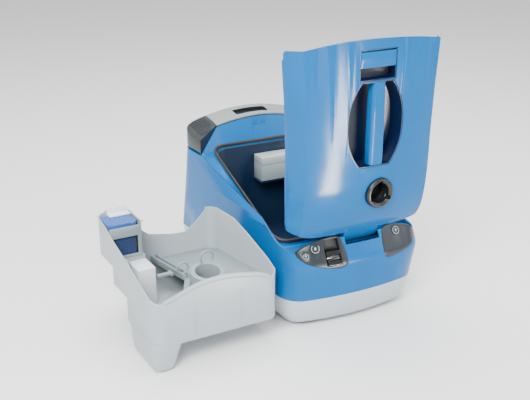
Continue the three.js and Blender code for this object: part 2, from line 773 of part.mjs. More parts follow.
function innerTub() {
  const ring = (grow, z) => openingRing(-TUB_OUTER_INSET - grow, z);
  const top = (grow) => ring(grow).map(([x, y, z]) => [x, y, z - 1]);
  const floor = TUB_FLOOR_Z;
  let tub = loft([ring(0, floor - TUB_WALL), top(0), top(TUB_WALL), ring(TUB_WALL, floor)]);
  const wells = [LEG_WELL, FOOT_WELL];
  for (const { x0, x1, y0, y1 } of wells) {
    tub = tub.add(outlinePrism(roundedRectangle(x0, x1, y0, y1, 20), TUB_WELL_Z - TUB_WALL, floor - 1));
  }
  for (const { x0, x1, y0, y1 } of wells) {
    const w = TUB_WALL;
    const hollow = roundedRectangle(x0 + w, x1 - w, y0 + w, y1 - w, 18);
    tub = tub.subtract(outlinePrism(hollow, TUB_WELL_Z, floor + 1));
  }
  const { x0, x1, y0, z0 } = CASSETTE;
  const bracket = box(x0 - 3, x1 + 3, y0, OPENING_REAR_Y - 1.5, z0 - GAP - SHELF_THICKNESS, z0 - GAP);
  const port = box(-30, 8, OPENING_REAR_Y - 6, OPENING_REAR_Y + 4, DUCT.mouthFoot + 2, DUCT.head - 2);
  return tub.add(bracket).subtract(port);
}

function gasket() {
  const ring = (grow, rise) => openingRing(grow).map(([x, y, z]) => [x, y, z + rise]);
  const w = GASKET_WIDTH;
  return loft([ring(w - 0.5, GAP), ring(w - 0.5, 3.5), ring(w - 2, GASKET_HEIGHT), ring(2, GASKET_HEIGHT),
    ring(0.5, 3.5), ring(0.5, GAP)], false);
}

function motorHousing() {
  const { x, y, radius, foot, head } = MOTOR;
  return rod('z', x, y, foot, radius, head - foot, 20)
    .subtract(rod('z', x, y, foot + 3, radius - 3, head - foot - 6, 20))
    .subtract(rod('z', x, y, head - 6, 14, 12, 12))
    .subtract(box(x - 12, x + 12, y - 60, y, foot + 12, foot + 30));
}

function turbineRotor() {
  const { x, y, foot } = MOTOR;
  const z = foot + 66;
  let rotor = rod('z', x, y, z, 36, 2.5, 16).add(rod('z', x, y, foot + 20, 5, 70, 12));
  for (let i = 0; i < 7; i++) {
    const blade = box(8, 34, -1, 1, z + 1, z + 14).rotate([0, 0, i * 360 / 7]);
    rotor = rotor.add(blade.translate([x, y, 0]));
  }
  return rotor;
}

function motorCore() {
  const { x, y, foot } = MOTOR;
  return rod('z', x, y, foot + 3 + GAP, 30, 50, 16).subtract(rod('z', x, y, foot, 8, 80, 10));
}

function suctionDuct() {
  const { x0, x1, foot, head, mouthFoot } = DUCT;
  const [y0, y1] = [MOTOR.y - 18, MOTOR.y + 18];
  const mid = MOTOR.x + 18;
  const outer = box(x0, mid, y0, y1, foot, head).add(box(x0, x1, OPENING_REAR_Y + 1, y1, mouthFoot, head));
  const w = 2.5;
  const inner = box(x0 + w, mid - w, y0 + w, y1 - w, foot - 5, head - w)
    .add(box(x0 + w, x1 - w, OPENING_REAR_Y + 3.5, y1 - w, mouthFoot + w, head - w))
    .add(box(-30, x1 - w, OPENING_REAR_Y - 5, OPENING_REAR_Y + 6, mouthFoot + w, head - w));
  return outer.subtract(inner);
}

function cordReel() {
  const { x, y, hub, flange, foot, head, post } = REEL;
  return joined(rod('z', x, y, foot, flange, 2.5, 20), rod('z', x, y, head - 2.5, flange, 2.5, 20),
    rod('z', x, y, foot, hub, head - foot, 12)).subtract(rod('z', x, y, foot - 5, post + GAP, 80, 10));
}

function reelPost() {
  const { x, y, foot, head, post } = REEL;
  const floor = FLOOR_CLEARANCE + BASE_FLOOR + GAP;
  return rod('z', x, y, floor, post, head + 5 - floor, 10)
    .add(rod('z', x, y, floor, 14, foot - GAP - floor, 12));
}

function sprayPump() {
  const floor = FLOOR_CLEARANCE + BASE_FLOOR + GAP;
  return joined(rod('x', -40, -60, floor + 20, 17, 66, 14), box(-34, 18, -72, -48, floor, floor + 12),
    rod('y', 18, -50, floor + 20, 5, 16, 8));
}

function solutionTank() {
  const floor = FLOOR_CLEARANCE + BASE_FLOOR + GAP;
  const shape = roundedRectangle(-52, 48, 10, 120, 10);
  const hollow = roundedRectangle(-50, 46, 12, 118, 8);
  return outlinePrism(shape, floor, 58).subtract(outlinePrism(hollow, floor + 2, 56))
    .subtract(rod('z', 25, 95, 40, 11, 30, 12));
}

function controlBoard() {
  return box(-60, 60, -186, -184.4, 92, 150).add(box(-40, -10, -186.5, -176, 100, 125))
    .add(rod('y', 25, -185, 115, 9, 10, 16));
}

const GLAND = { x: 104, z: 92, radius: 9, bore: 4.5 };

function cableGland() {
  const { x, z, radius, bore } = GLAND;
  const collar = rod('y', x, REAR_Y + GAP, z, radius + 3, 2.5, 14);
  return joined(rod('y', x, REAR_Y - 12, z, radius, 13, 14), collar)
    .subtract(rod('y', x, REAR_Y - 20, z, bore, 40, 10));
}

function filterCassette() {
  const { x0, x1, y0, y1, z0, z1 } = CASSETTE;
  return box(x0, x1, y0, y1, z0, z1).subtract(box(x0 + 2, x1 - 2, y0 + 2, y1 - 2, z0 + 2, z1 + 1))
    .subtract(box(-20, 4, y1 - 4, y1 + 1, z0 + 6, z1 - 4));
}

function filterPleats() {
  const { x0, x1, y0, y1, z0, z1 } = CASSETTE;
  const points = [[x0 + 3, z0 + 3]];
  const folds = 12;
  const pitch = (x1 - x0 - 6) / folds;
  for (let i = 0; i < folds; i++) {
    points.push([x0 + 3 + pitch * (i + 0.5), z0 + 9]);
    points.push([x0 + 3 + pitch * (i + 1), z0 + 3]);
  }
  for (let i = folds; i > 0; i--) {
    points.push([x0 + 3 + pitch * i, z1 - 10]);
    points.push([x0 + 3 + pitch * (i - 0.5), z1 - 4]);
  }
  points.push([x0 + 3, z1 - 10]);
  return frontPrism(points, y0 + 3, y1 - 3);
}

function cassetteCover() {
  const { x0, x1, y0, y1, z1, cover } = CASSETTE;
  return box(x0, x1, y0, y1, z1 + GAP, z1 + cover)
    .subtract(box(x0 + 2, x1 - 2, y0 + 2, y1 - 2, z1 - 1, z1 + cover - 2))
    .add(box(x0 + 3, x0 + 11, y0 + 8, y1 - 8, z1 + cover - 1, z1 + cover + 2));
}

// ---------------------------------------------------------------- hood, laid flat: x, along, height

const HOOD_FOOT = 10;
const HOOD_END_LEAN = 6;
const HOOD_END_RISE = 26; // the far wall stops above the gasket when the hood is down
const CREASE = 0.89;

function hoodHalf(l) {
  const head = [HOOD_LENGTH + 16, HOOD_HALF + 1];
  return along([[10, 132], [30, 141], [116, 142], [174, 141.5], [258, 145], head], l);
}

function hoodSpan(u) {
  const corner = Math.abs(u) ** 8;
  return [HOOD_FOOT + 16 * corner, HOOD_LENGTH + HOOD_END_BOW * (1 - u * u)];
}

function crownAt(u, l) {
  const rise = along([[0, 20], [10, 26], [30, 38], [60, 49], [100, 55], [150, 57.5], [220, HOOD_CROWN],
    [360, HOOD_CROWN]], l);
  const a = Math.abs(u);
  const top = rise * (1 - 0.27 * (Math.min(a, CREASE) / CREASE) ** 2.2);
  return a <= CREASE ? top : top * (1 - 0.72 * (a - CREASE) / (1 - CREASE));
}

// Grid lines crowd together at the crease
function spreadU(t) {
  const a = Math.abs(t);
  const bent = a < 0.75 ? a / 0.75 * CREASE : mix(CREASE, 1, (a - 0.75) / 0.25);
  return Math.sign(t) * bent;
}

function hoodOuter(t, v) {
  const u = spreadU(t);
  const [l0, l1] = hoodSpan(u);
  const l = mix(l0, l1, v);
  return [u * hoodHalf(l), l, crownAt(u, l)];
}

function hoodInner(t, v) {
  const u = spreadU(t);
  const [l0, l1] = hoodSpan(u);
  const l = mix(l0 + HOOD_WALL, l1 - HOOD_WALL, v);
  const flange = 3 * smooth((Math.abs(u) - CREASE + 0.05) / 0.06);
  return [u * (hoodHalf(l) - HOOD_WALL), l, Math.max(3, crownAt(u, l) - HOOD_WALL - flange)];
}

function hoodHeight(x, l) {
  const u = THREE.MathUtils.clamp(x / hoodHalf(l), -1, 1);
  return crownAt(u, l);
}

const HOOD_XS = [-130, -110, -90, -70, -50, -30, -15, 0, 15, 30, 50, 70, 90, 110, 130];
const HOOD_LS = [-10, 10, 30, 60, 80, 100, 120, 150, 185, 220, 260, 300, 330, 360];

function underHood(drop, floor = -60) {
  return under((x, l) => hoodHeight(x, l) - drop, HOOD_XS, HOOD_LS, floor);
}

function gripOutline(grow = 0) {
  const half = GRIP_WIDTH / 2 + grow;
  const end = GRIP_LENGTH / 2 + grow;
  const points = [];
  const sideAt = (t) => half * (1 - 0.45 * Math.abs(t) ** 2.4);
  const steps = 6;
  for (let i = 0; i <= steps; i++) {
    const t = i / steps * 2 - 1;
    points.push([sideAt(t), GRIP_CENTRE + t * end]);
  }
  for (let i = steps; i >= 0; i--) {
    const t = i / steps * 2 - 1;
    points.push([-sideAt(t), GRIP_CENTRE + t * end]);
  }
  return points;
}

function tabSolid() {
  const profile = [[-8, 15], [-8, 19], [0, 22], [13, 27.5], [16, 26], [8, 19], [6, 6], [-4, 4], [-3, 16]];
  const half = KNUCKLE_HALF - 3;
  const web = sidePrism(profile, -half, half);
  const barrel = rod('x', -KNUCKLE_HALF, 0, 0, KNUCKLE_RADIUS, 2 * KNUCKLE_HALF, 20);
  return web.add(barrel);
}

function hoodShell() {
  let hood = hoodGrid();
  hood = hood.add(tabSolid());
  hood = hood.subtract(rod('x', -70, 0, 0, PIN_RADIUS + PIN_GAP, 140, 16));
  hood = hood.subtract(outlinePrism(gripOutline(), 5, 90));
  hood = hood.subtract(rod('z', PORT_X, PORT_CENTRE, 5, PORT_OUTER + GAP, 90, 28));
  hood = hood.subtract(box(-LATCH_HALF, LATCH_HALF, LATCH_FOOT, LATCH_HEAD, 25, 90));
  return hood;
}

function hoodGrid() {
  return gridShell(16, 9, hoodOuter, hoodInner, (x, l) => {
    const end = smooth((l - HOOD_LENGTH + 20) / 14);
    return [x, l - HOOD_END_LEAN * end, end * Math.min(HOOD_END_RISE, 0.6 * hoodHeight(x, l))];
  });
}

function gripScoop() {
  const floorH = HOOD_CROWN - GRIP_DEPTH;
  const bowl = outlinePrism(gripOutline(4), floorH - 2, 80).intersect(underHood(HOOD_WALL + GAP + 0.3))
    .intersect(box(-90, 90, 90, LATCH_FOOT, 0, 90));
  const neck = outlinePrism(gripOutline(-GAP), floorH, 80).intersect(underHood(0.8, floorH - 1));
  const hollow = outlinePrism(gripOutline(-2.2), floorH, 90);
  return bowl.add(neck).subtract(hollow);
}

function gripBar() {
  const reach = GRIP_LENGTH / 2 - 2.2 - GAP;
  const [x0, x1] = [BAR_OFFSET - BAR_WIDTH / 2, BAR_OFFSET + BAR_WIDTH / 2];
  const bar = box(x0, x1, GRIP_CENTRE - reach, GRIP_CENTRE + reach, 36, 80);
  return bar.intersect(underHood(1.2));
}

function hosePort() {
  const foot = 38;
  const head = HOOD_CROWN - 3 + PORT_PROUD;
  let ring = rod('z', PORT_X, PORT_CENTRE, foot, PORT_OUTER - 3, head - foot, 24)
    .add(rod('z', PORT_X, PORT_CENTRE, 48, PORT_OUTER, head - 2 - 48, 24));
  ring = ring.subtract(rod('z', PORT_X, PORT_CENTRE, foot - 5, PORT_BORE, 60, 20));
  for (let i = 0; i < 3; i++) {
    const notch = box(-4, 4, PORT_BORE - 3, PORT_BORE + 5, head - 4, head + 5).rotate([0, 0, i * 120]);
    ring = ring.subtract(notch.translate([PORT_X, PORT_CENTRE, 0]));
  }
  return ring;
}

const DUCT_FOOT = -21;

function inletDuct() {
  const head = 38 - GAP;
  return rod('z', PORT_X, PORT_CENTRE, DUCT_FOOT, 22, head - DUCT_FOOT, 16)
    .subtract(rod('z', PORT_X, PORT_CENTRE, DUCT_FOOT - 1, PORT_BORE + 1, 90, 16));
}

const LINER = { foot: 52, head: 333, footHeight: -22, headHeight: 29, thickness: 3, half: 127 };

function hoodLiner() {
  const { foot, head, footHeight, headHeight, thickness, half } = LINER;
  const slab = sidePrism([[foot, footHeight], [head, headHeight], [head, headHeight + thickness],
    [foot, footHeight + thickness]], -half, half);
  const plan = outlinePrism(roundedRectangle(-half, half, foot, head, 24), -60, 90);
  const bowl = outlinePrism(gripOutline(4 + GAP), HOOD_CROWN - GRIP_DEPTH - 2 - GAP, 90);
  return slab.intersect(plan).subtract(bowl)
    .subtract(rod('z', PORT_X, PORT_CENTRE, -60, 22 + 3 * GAP, 120, 16));
}

const LATCH_PIVOT = { l: 331, h: 50 };
const FLAP = { foot: 308, head: 335, half: 34.5 };

function latchPocket() {
  const w = 1.6;
  const g = GAP;
  const [x, l0, l1] = [LATCH_HALF - g, LATCH_FOOT + g, LATCH_HEAD - g];
  const tray = box(-x, x, l0, l1, 34, 80).intersect(underHood(1.5));
  const hollow = box(-x + w, x - w, l0 + w, l1 - w, 36, 90);
  const wall = joined(tray.subtract(hollow));
  return wall.subtract(rod('x', -60, LATCH_PIVOT.l, LATCH_PIVOT.h, 1.5 + PIN_GAP, 120, 12))
    .subtract(box(-15, 15, l1 - 5, l1 + 5, 34, 52));
}

function latchFlap() {
  const { foot, head, half } = FLAP;
  const x = LATCH_HALF - GAP - 1.6 - GAP;
  const plate = box(-x, x, foot, head - 1, 20, 90).intersect(underHood(0.8)).subtract(underHood(4.3, -5));
  const boss = rod('x', -x + 2, LATCH_PIVOT.l, LATCH_PIVOT.h, 4, 2 * x - 4, 14);
  const link = box(-x + 2, x - 2, LATCH_PIVOT.l - 2, LATCH_PIVOT.l + 2, LATCH_PIVOT.h, 55);
  const hooks = joined(box(-13, -7, LATCH_PIVOT.l, 343, 41, 45), box(7, 13, LATCH_PIVOT.l, 343, 41, 45),
    box(-13, 13, LATCH_PIVOT.l - 2, LATCH_PIVOT.l + 2, 41, 47));
  return joined(plate, boss, link, hooks)
    .subtract(rod('x', -60, LATCH_PIVOT.l, LATCH_PIVOT.h, 1.5 + PIN_GAP, 120, 12))
    .intersect(box(-half, half, foot, 350, 30, 70));
}

function latchPin() {
  const x = LATCH_HALF - GAP - 0.5;
  return rod('x', -x, LATCH_PIVOT.l, LATCH_PIVOT.h, 1.5, 2 * x, 12);
}

// ---------------------------------------------------------------- tank

const TOWER_Y = 198;
const TOWER_FLOOR = 128;
const STEP_X = -88;
const FOOT = { x0: 60, x1: 116, y0: 148, y1: 252 };

function leg(x0, x1, y0, y1, inset, flareX) {
  const rows = [[0, 9, 11, 11], [5, 4, 5, 14], [22, 1, 2, 17], [40, 0.5, 0.5, 19], [56, 0, 0, 20]];
  return loft(rows.map(([z, side, ends, radius]) => {
    const flare = flareX * (z / 56) ** 2;
    const height = z === 0 ? inset : z;
    return roundedRectangle(x0 + side + inset, x1 - side - inset + flare, y0 + ends + inset,
      y1 - ends - inset, Math.max(3, Math.min(radius, 15) - inset)).map(([x, y]) => [x, y, height]);
  }));
}

function tankForm(inset) {
  const i = inset;
  const h = TANK_HALF - i;
  let form3 = outlinePrism(roundedRectangle(-h, h, i, TANK_LENGTH - i, 20 - i), TANK_FLOOR_Z + i, 215 + i);
  form3 = form3.subtract(box(-140, STEP_X + i, LEG_LENGTH - i, 300, 0, TOWER_FLOOR_Z + i));
  form3 = form3.subtract(box(-140, STEP_X + i, 178 - i, 300, 0, TOWER_FLOOR + i));
  form3 = form3.subtract(box(-140, -TANK_HALF + TOWER_WIDTH + i, TOWER_Y - i, 300, 0, TOWER_FLOOR + i));
  form3 = form3.add(leg(-TANK_HALF, -TANK_HALF + LEG_WIDTH, 0, LEG_LENGTH, i, 14));
  return form3.add(leg(FOOT.x0, FOOT.x1, FOOT.y0, FOOT.y1, i, 0));
}

function tankRim(x, y) {
  if (x < -100) {
    return along([[0, 127], [18, 138], [63, 150], [109, 164], [162, 176], [211, 191], [257, 201]], y);
  }
  if (x > 100) return along([[0, 130], [40, 147], [109, 165], [167, 177], [257, 172]], y);
  if (y < 128) {
    return along([[-100, 131], [-79, 138], [-34, 153], [0, 156], [30, 154], [82, 144], [100, 133]], x);
  }
  return along([[-100, 204], [-62, 206], [-52, 172], [-40, 168], [-30, 150], [-17, 140], [28, 131], [57, 130],
    [79, 145], [100, 166]], x);
}

function tankShell() {
  const xs = [-130, -101, -99, -79, -62, -52, -40, -30, -17, 0, 28, 57, 79, 99, 101, 130];
  const ys = [-10, 18, 63, 109, 127, 129, 162, 211, 235, 270];
  const shell3 = tankForm(0).subtract(tankForm(TANK_WALL));
  return shell3.intersect(under(tankRim, xs, ys, -5));
}

function plateHeight(y) {
  return 88 + (250 - y) * 0.12;
}

const COLLAR_TILT = -HOOD_CLOSED_DEG;
const COLLAR_HEIGHT = 32;

function collarRod(radius, from, to) {
  return rod('z', 0, 0, from, radius, to - from, 20).rotate([-COLLAR_TILT, 0, 0])
    .translate([COLLAR_X, COLLAR_Y, COLLAR_TOP_Z]);
}

function splashPlate() {
  const inner = TANK_HALF - TANK_WALL - GAP;
  const rear = TANK_LENGTH - TANK_WALL - GAP - 0.3;
  const front = TANK_WALL + GAP + 0.3;
  const outlinePoints = [[-17, rear], [-10, 112], [-36, 60], [-36, front + 6], [inner - 18, front],
    [inner, front + 18], [inner, rear - 18], [inner - 18, rear]];
  const area = outlinePrism([...outlinePoints].reverse(), 40, 160);
  const xs = [-60, 130];
  const ys = [-10, 270];
  const sheet = under((x, y) => plateHeight(y), xs, ys, 20)
    .subtract(under((x, y) => plateHeight(y) - 2.4, xs, ys, 10));
  const strip = (x0, x1, rise) => {
    const line = outlinePrism([[x0 - 7, rear], [x0, 112], [x1, 112], [x1 - 7, rear]].reverse(), 40, 160);
    return under((x, y) => plateHeight(y) + rise, xs, ys, 20)
      .subtract(under((x, y) => plateHeight(y) - 1, xs, ys, 10))
      .intersect(line);
  };
  const hoop = ringLoop(-6, 128, plateHeight(128) + 17, 10.5, 1.8);
  return joined(sheet.intersect(area), strip(-10, -7, 9), strip(0, 3, 9), hoop)
    .subtract(collarRod(COLLAR_OUTER + GAP, -60, 30));
}

function inletCollar() {
  const body = collarRod(COLLAR_OUTER, -COLLAR_HEIGHT - 8, 0).subtract(collarRod(COLLAR_BORE, -70, 10));
  const loopHandle = ringLoop(COLLAR_X + 10, COLLAR_Y + 24, COLLAR_TOP_Z + 13.5, 12, 2);
  return body.add(loopHandle);
}

const LEVER = { x: -20, y: 150, z: 104 };

function separatorLever() {
  const { x, y, z } = LEVER;
  return joined(box(x - 26, x + 1, y - 4, y + 4, z - 2, z + 2), rod('y', x, y - 7, z, 3.2, 14, 14));
}

function jetBox() {
  return box(-84, -51, 144, TOWER_Y - TANK_WALL - 5, TANK_FLOOR_Z + TANK_WALL + GAP, 125)
    .subtract(box(-82, -53, 146, TOWER_Y - TANK_WALL - 7, TANK_FLOOR_Z, 122));
}

const BAIL = { y: 201, z: 194, radius: 1.2, restY: 256, restZ: 170.2 };
const FOAM = { x0: -114, x1: -58.5, y0: 197.5, y1: 250 };

function foamFrame() {
  const { x0, x1 } = FOAM;
  const foot = TOWER_FLOOR + TANK_WALL + GAP;
  return box(x0, x1 + 4, 193.9, 197, foot, 190).subtract(box(x0 + 6, x1 - 3, 190, 199, foot + 5, 171))
    .add(box(x1 + 1, x1 + 4, 193.9, 252, foot, 198))
    .subtract(rod('x', x1 - 5, BAIL.y, BAIL.z, BAIL.radius + PIN_GAP, 20, 10));
}

function foamBlock(z0, z1) {
  const { x0, x1, y0, y1 } = FOAM;
  return outlinePrism(roundedRectangle(x0, x1, y0, y1, 12, 3), z0, z1);
}

function foamBracket() {
  const { x0, x1, y1 } = FOAM;
  return box(x0 + 16, x1, y1 + GAP, y1 + 2.2, 172, 207).add(box(x0 + 16, x1, y1 - 16, y1 + 2, 196.5, 198.5));
}

function wireBail() {
  const { y, z, radius, restY, restZ } = BAIL;
  const bend = [FOAM.x1 + 9, y, z];
  return joined(strut([FOAM.x1 + GAP, y, z], [bend[0] + 2, y, z], radius, 8),
    strut(bend, [FOAM.x1 + 18.5, restY, restZ], radius, 8));
}

// ---------------------------------------------------------------- assembly

const machine = new THREE.Group();
const slots = joined(box(-14, -5, 150, 182, 276, 280), box(5, 14, 150, 182, 276, 280));
let shell = bodyShell();
const frontSkin = housingForm(-2).subtract(housingForm(WALL + GAP));
for (const side of [-1, 1]) {
  shell = shell.subtract(frontSkin.intersect(frontPrism(panelOutline(side, GAP), -300, -150)));
}
for (const button of Object.values(BUTTONS)) {
  shell = shell.subtract(frontStub(button, 5, BUTTON_DEPTH + 5, 1));
}
const { half: wellHalf, foot: wellFoot, head: wellHead } = SLIDER_WELL;
const [wellLeft, wellRight] = [SLIDER.x - wellHalf - 3, SLIDER.x + wellHalf + 3];
shell = shell.subtract(box(wellLeft, wellRight, -250, -195, wellFoot - 3, wellHead + 3));
shell = shell.subtract(
  box(-SADDLE_HALF, SADDLE_HALF, SADDLE_FRONT_Y, SADDLE_REAR_Y, SADDLE_FLOOR_Z - 4, 220),
);
shell = shell.subtract(box(-TAB_NOTCH_HALF, TAB_NOTCH_HALF, -300, HINGE_Y, TAB_NOTCH_Z, 220));
shell = shell.subtract(slots).subtract(rod('y', GLAND.x, REAR_Y - 20, GLAND.z, GLAND.radius + GAP, 30, 14));
piece(machine, 'body_shell', shell, BLUE);
piece(machine, 'base_pan', basePan(), PALE_GREY);
for (const [place, [x, y]] of Object.entries(CASTORS)) {
  piece(machine, `castor_fork_${place}`, castorFork(x, y), ANTHRACITE);
  piece(machine, `castor_wheel_${place}`, castorWheel(x, y), BLACK);
}
piece(machine, 'control_panel_left', controlPanel(-1), ANTHRACITE);
piece(machine, 'control_panel_right', controlPanel(1), ANTHRACITE);
for (const [name, button] of Object.entries(BUTTONS)) {
  piece(machine, name, frontStub(button, BUTTON_PROUD, BUTTON_DEPTH), ANTHRACITE);
}
piece(machine, 'slider_well', sliderWell(), BLACK);
piece(machine, 'suction_slider', suctionSlider(), BLACK);
piece(machine, 'hinge_saddle', hingeSaddle(), BLUE);
const hingePin = rod('x', -SADDLE_HALF + 1.5, HINGE_Y, HINGE_Z, PIN_RADIUS, 2 * SADDLE_HALF - 3, 16);
piece(machine, 'hinge_pin', hingePin, STEEL);
piece(machine, 'rear_cap', rearCap(), CAP_GREY);
piece(machine, 'corner_grille_left', cornerGrille(-1), ANTHRACITE);
piece(machine, 'corner_grille_right', cornerGrille(1), ANTHRACITE);
piece(machine, 'inner_tub', innerTub(), NAVY);
piece(machine, 'opening_gasket', gasket(), RUBBER);
piece(machine, 'motor_housing', motorHousing(), BLACK);
piece(machine, 'motor_mount', rod('z', MOTOR.x, MOTOR.y, FLOOR_CLEARANCE + BASE_FLOOR + GAP, 26,
  MOTOR.foot - 2 * GAP - FLOOR_CLEARANCE - BASE_FLOOR, 20), RUBBER);
piece(machine, 'motor_core', motorCore(), STEEL);
piece(machine, 'turbine_rotor', turbineRotor(), STEEL);
piece(machine, 'suction_duct', suctionDuct(), BLACK);
piece(machine, 'cord_reel', cordReel(), BLACK);
piece(machine, 'reel_post', reelPost(), STEEL);
piece(machine, 'spray_pump', sprayPump(), BLACK);
piece(machine, 'solution_tank', solutionTank(), WHITE);
piece(machine, 'control_board', controlBoard(), GREEN);
piece(machine, 'cable_gland', cableGland(), BLACK);
piece(machine, 'filter_cassette', filterCassette(), TANK_GREY);
piece(machine, 'filter_pleats', filterPleats(), WHITE);
piece(machine, 'filter_cover', cassetteCover(), PALE_GREY);

const hood = new THREE.Group();
hood.position.set(0, HINGE_Y, HINGE_Z);
hood.rotation.x = THREE.MathUtils.degToRad(HOOD_REST_DEG);
piece(hood, 'hood_shell', hoodShell(), BLUE);
piece(hood, 'hood_liner', hoodLiner(), NAVY);
piece(hood, 'grip_scoop', gripScoop(), NAVY);
piece(hood, 'grip_bar', gripBar(), BLUE);
piece(hood, 'hose_port', hosePort(), BLACK);
piece(hood, 'inlet_duct', inletDuct(), BLACK);
piece(hood, 'latch_pocket', latchPocket(), BLUE);
piece(hood, 'latch_flap', latchFlap(), BLUE);
piece(hood, 'latch_pin', latchPin(), STEEL);
machine.add(hood);

const tank = new THREE.Group();
tank.position.set(TANK_X, TANK_Y, 0);
tank.rotation.z = THREE.MathUtils.degToRad(TANK_YAW_DEG);
piece(tank, 'tank_shell', tankShell(), TANK_GREY);
piece(tank, 'splash_plate', splashPlate(), TANK_GREY);
piece(tank, 'inlet_collar', inletCollar(), TANK_GREY);
piece(tank, 'separator_lever', separatorLever(), TANK_GREY);
piece(tank, 'jet_box', jetBox(), WHITE);
piece(tank, 'foam_frame', foamFrame(), TANK_GREY);
piece(tank, 'foam_lower', foamBlock(TOWER_FLOOR + TANK_WALL + GAP, 171), FOAM_NAVY);
piece(tank, 'foam_upper', foamBlock(172, 196), FOAM_BLUE);
piece(tank, 'foam_bracket', foamBracket(), WHITE);
piece(tank, 'wire_bail', wireBail(), STEEL);
machine.add(tank);

// The origin goes to the middle of the arrangement, at the floor
const assembly = new THREE.Group();
assembly.add(machine);
const extent = new THREE.Box3().setFromObject(assembly, true);
const middle = extent.getCenter(new THREE.Vector3());
machine.position.set(-middle.x, -middle.y, -extent.min.z);

export default assembly;
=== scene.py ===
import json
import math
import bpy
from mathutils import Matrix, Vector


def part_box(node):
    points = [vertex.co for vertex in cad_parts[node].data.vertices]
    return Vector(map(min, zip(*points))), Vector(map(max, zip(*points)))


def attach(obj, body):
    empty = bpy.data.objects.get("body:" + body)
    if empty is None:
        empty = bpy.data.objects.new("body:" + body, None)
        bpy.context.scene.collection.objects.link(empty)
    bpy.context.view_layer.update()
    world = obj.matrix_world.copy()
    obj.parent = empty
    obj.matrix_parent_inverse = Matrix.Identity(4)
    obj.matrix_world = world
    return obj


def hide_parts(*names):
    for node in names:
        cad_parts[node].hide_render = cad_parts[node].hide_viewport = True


bl_info = {
    "name": "Wet and dry canister vacuum cleaner",
    "version": (1, 0, 0),
    "blender": (4, 5, 0),
    "location": "View3D > Sidebar > Cleaner",
    "description": "Builds the finished surfaces of a canister vacuum cleaner round its CAD frame",
    "category": "Object",
}

import bmesh
import bpy
from mathutils import Matrix, Vector

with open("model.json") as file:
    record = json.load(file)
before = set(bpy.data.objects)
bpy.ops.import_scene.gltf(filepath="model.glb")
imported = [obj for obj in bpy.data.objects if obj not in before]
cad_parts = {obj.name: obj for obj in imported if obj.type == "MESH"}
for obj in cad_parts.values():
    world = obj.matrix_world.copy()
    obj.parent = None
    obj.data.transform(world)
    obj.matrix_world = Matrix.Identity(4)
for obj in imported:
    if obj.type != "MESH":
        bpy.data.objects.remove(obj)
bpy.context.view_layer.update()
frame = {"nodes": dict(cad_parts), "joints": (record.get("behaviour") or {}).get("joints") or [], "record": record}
NODES = frame["nodes"]
BODY_OF = {node: body for body, nodes in frame["record"]["behaviour"]["bodies"].items() for node in nodes}
JOINTS = {joint["name"]: joint for joint in frame["joints"]}

# ------------------------------------------------------------------ sizes, in millimetres

GAP = 0.35
WALL = 3
FRONT_Y = -200
FRONT_BOW = 17
REAR_Y = 247
FRONT_HALF = 139
REAR_HALF = 160
SEAM_Z = 61
NOSE_Z = 134
BROW_Z = 182
SHELF_Z = 236

HOOD_LENGTH = 340
HOOD_END_BOW = 15
HOOD_HALF = 151
HOOD_CROWN = 58
HOOD_WALL = 2.8
HOOD_CLOSED_DEG = 10.5
CREASE = 0.89
GRIP_CENTRE = 211
GRIP_LENGTH = 148
GRIP_WIDTH = 112
GRIP_DEPTH = 38
BAR_X = 5
PORT_X = 14
PORT_CENTRE = 87
PORT_OUTER = 27
PORT_BORE = 18
PORT_HEAD = 62
LATCH_HALF = 36
LATCH_FOOT = 286
LATCH_HEAD = 338

OPENING_FRONT_Y = -136
OPENING_REAR_Y = 136
OPENING_FRONT_HALF = 123.5
OPENING_REAR_HALF = 127
RIM_FRONT_Z = 151
RIM_SLOPE = 0.372
GASKET_WIDTH = 6

TANK_X = -283
TANK_Y = -221
TANK_YAW = math.radians(1.9)
TANK_HALF = 118
TANK_LENGTH = 257
TANK_WALL = 2.6
TANK_FLOOR_Z = 50
LEG_WIDTH = 46
LEG_LENGTH = 113
TOWER_WIDTH = 66
TOWER_Y = 198
TOWER_FLOOR = 128
TOWER_FLOOR_Z = 95
STEP_X = -88

# ------------------------------------------------------------------ frames

_base_low, _base_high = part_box("base_pan")
ORIGIN = Vector(((_base_low.x + _base_high.x) / 2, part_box("body_shell")[1].y - REAR_Y / 1000, 0.0))
HINGE = Vector(JOINTS["hood_hinge"]["pos_m"])
HINGE_Y = (HINGE.y - ORIGIN.y) * 1000
HINGE_Z = HINGE.z * 1000


def on_machine(p):
    return Vector((ORIGIN.x + p[0] / 1000, ORIGIN.y + p[1] / 1000, p[2] / 1000))


def on_hood(p):
    return on_machine((p[0], HINGE_Y - p[2], HINGE_Z + p[1]))


def on_tank(p):
    c, s = math.cos(TANK_YAW), math.sin(TANK_YAW)
    return on_machine((TANK_X + p[0] * c - p[1] * s, TANK_Y + p[0] * s + p[1] * c, p[2]))


# ------------------------------------------------------------------ numbers


def mix(a, b, t):
    return a + (b - a) * t


def clamp01(t):
    return max(0.0, min(1.0, t))


def smooth(t):
    c = clamp01(t)
    return c * c * (3 - 2 * c)


def along(table, at):
    if at <= table[0][0]:
        return table[0][1]
    for (a, va), (b, vb) in zip(table, table[1:]):
        if at <= b:
            return mix(va, vb, (at - a) / (b - a))
    return table[-1][1]


def eased(table, at):
    """Like along, with rounded corners between the stretches."""
    reach = 9
    return sum(along(table, at + reach * k / 3) for k in range(-3, 4)) / 7


def steps(a, b, count):
    return [mix(a, b, k / count) for k in range(count + 1)]


# ------------------------------------------------------------------ closed solids, in millimetres


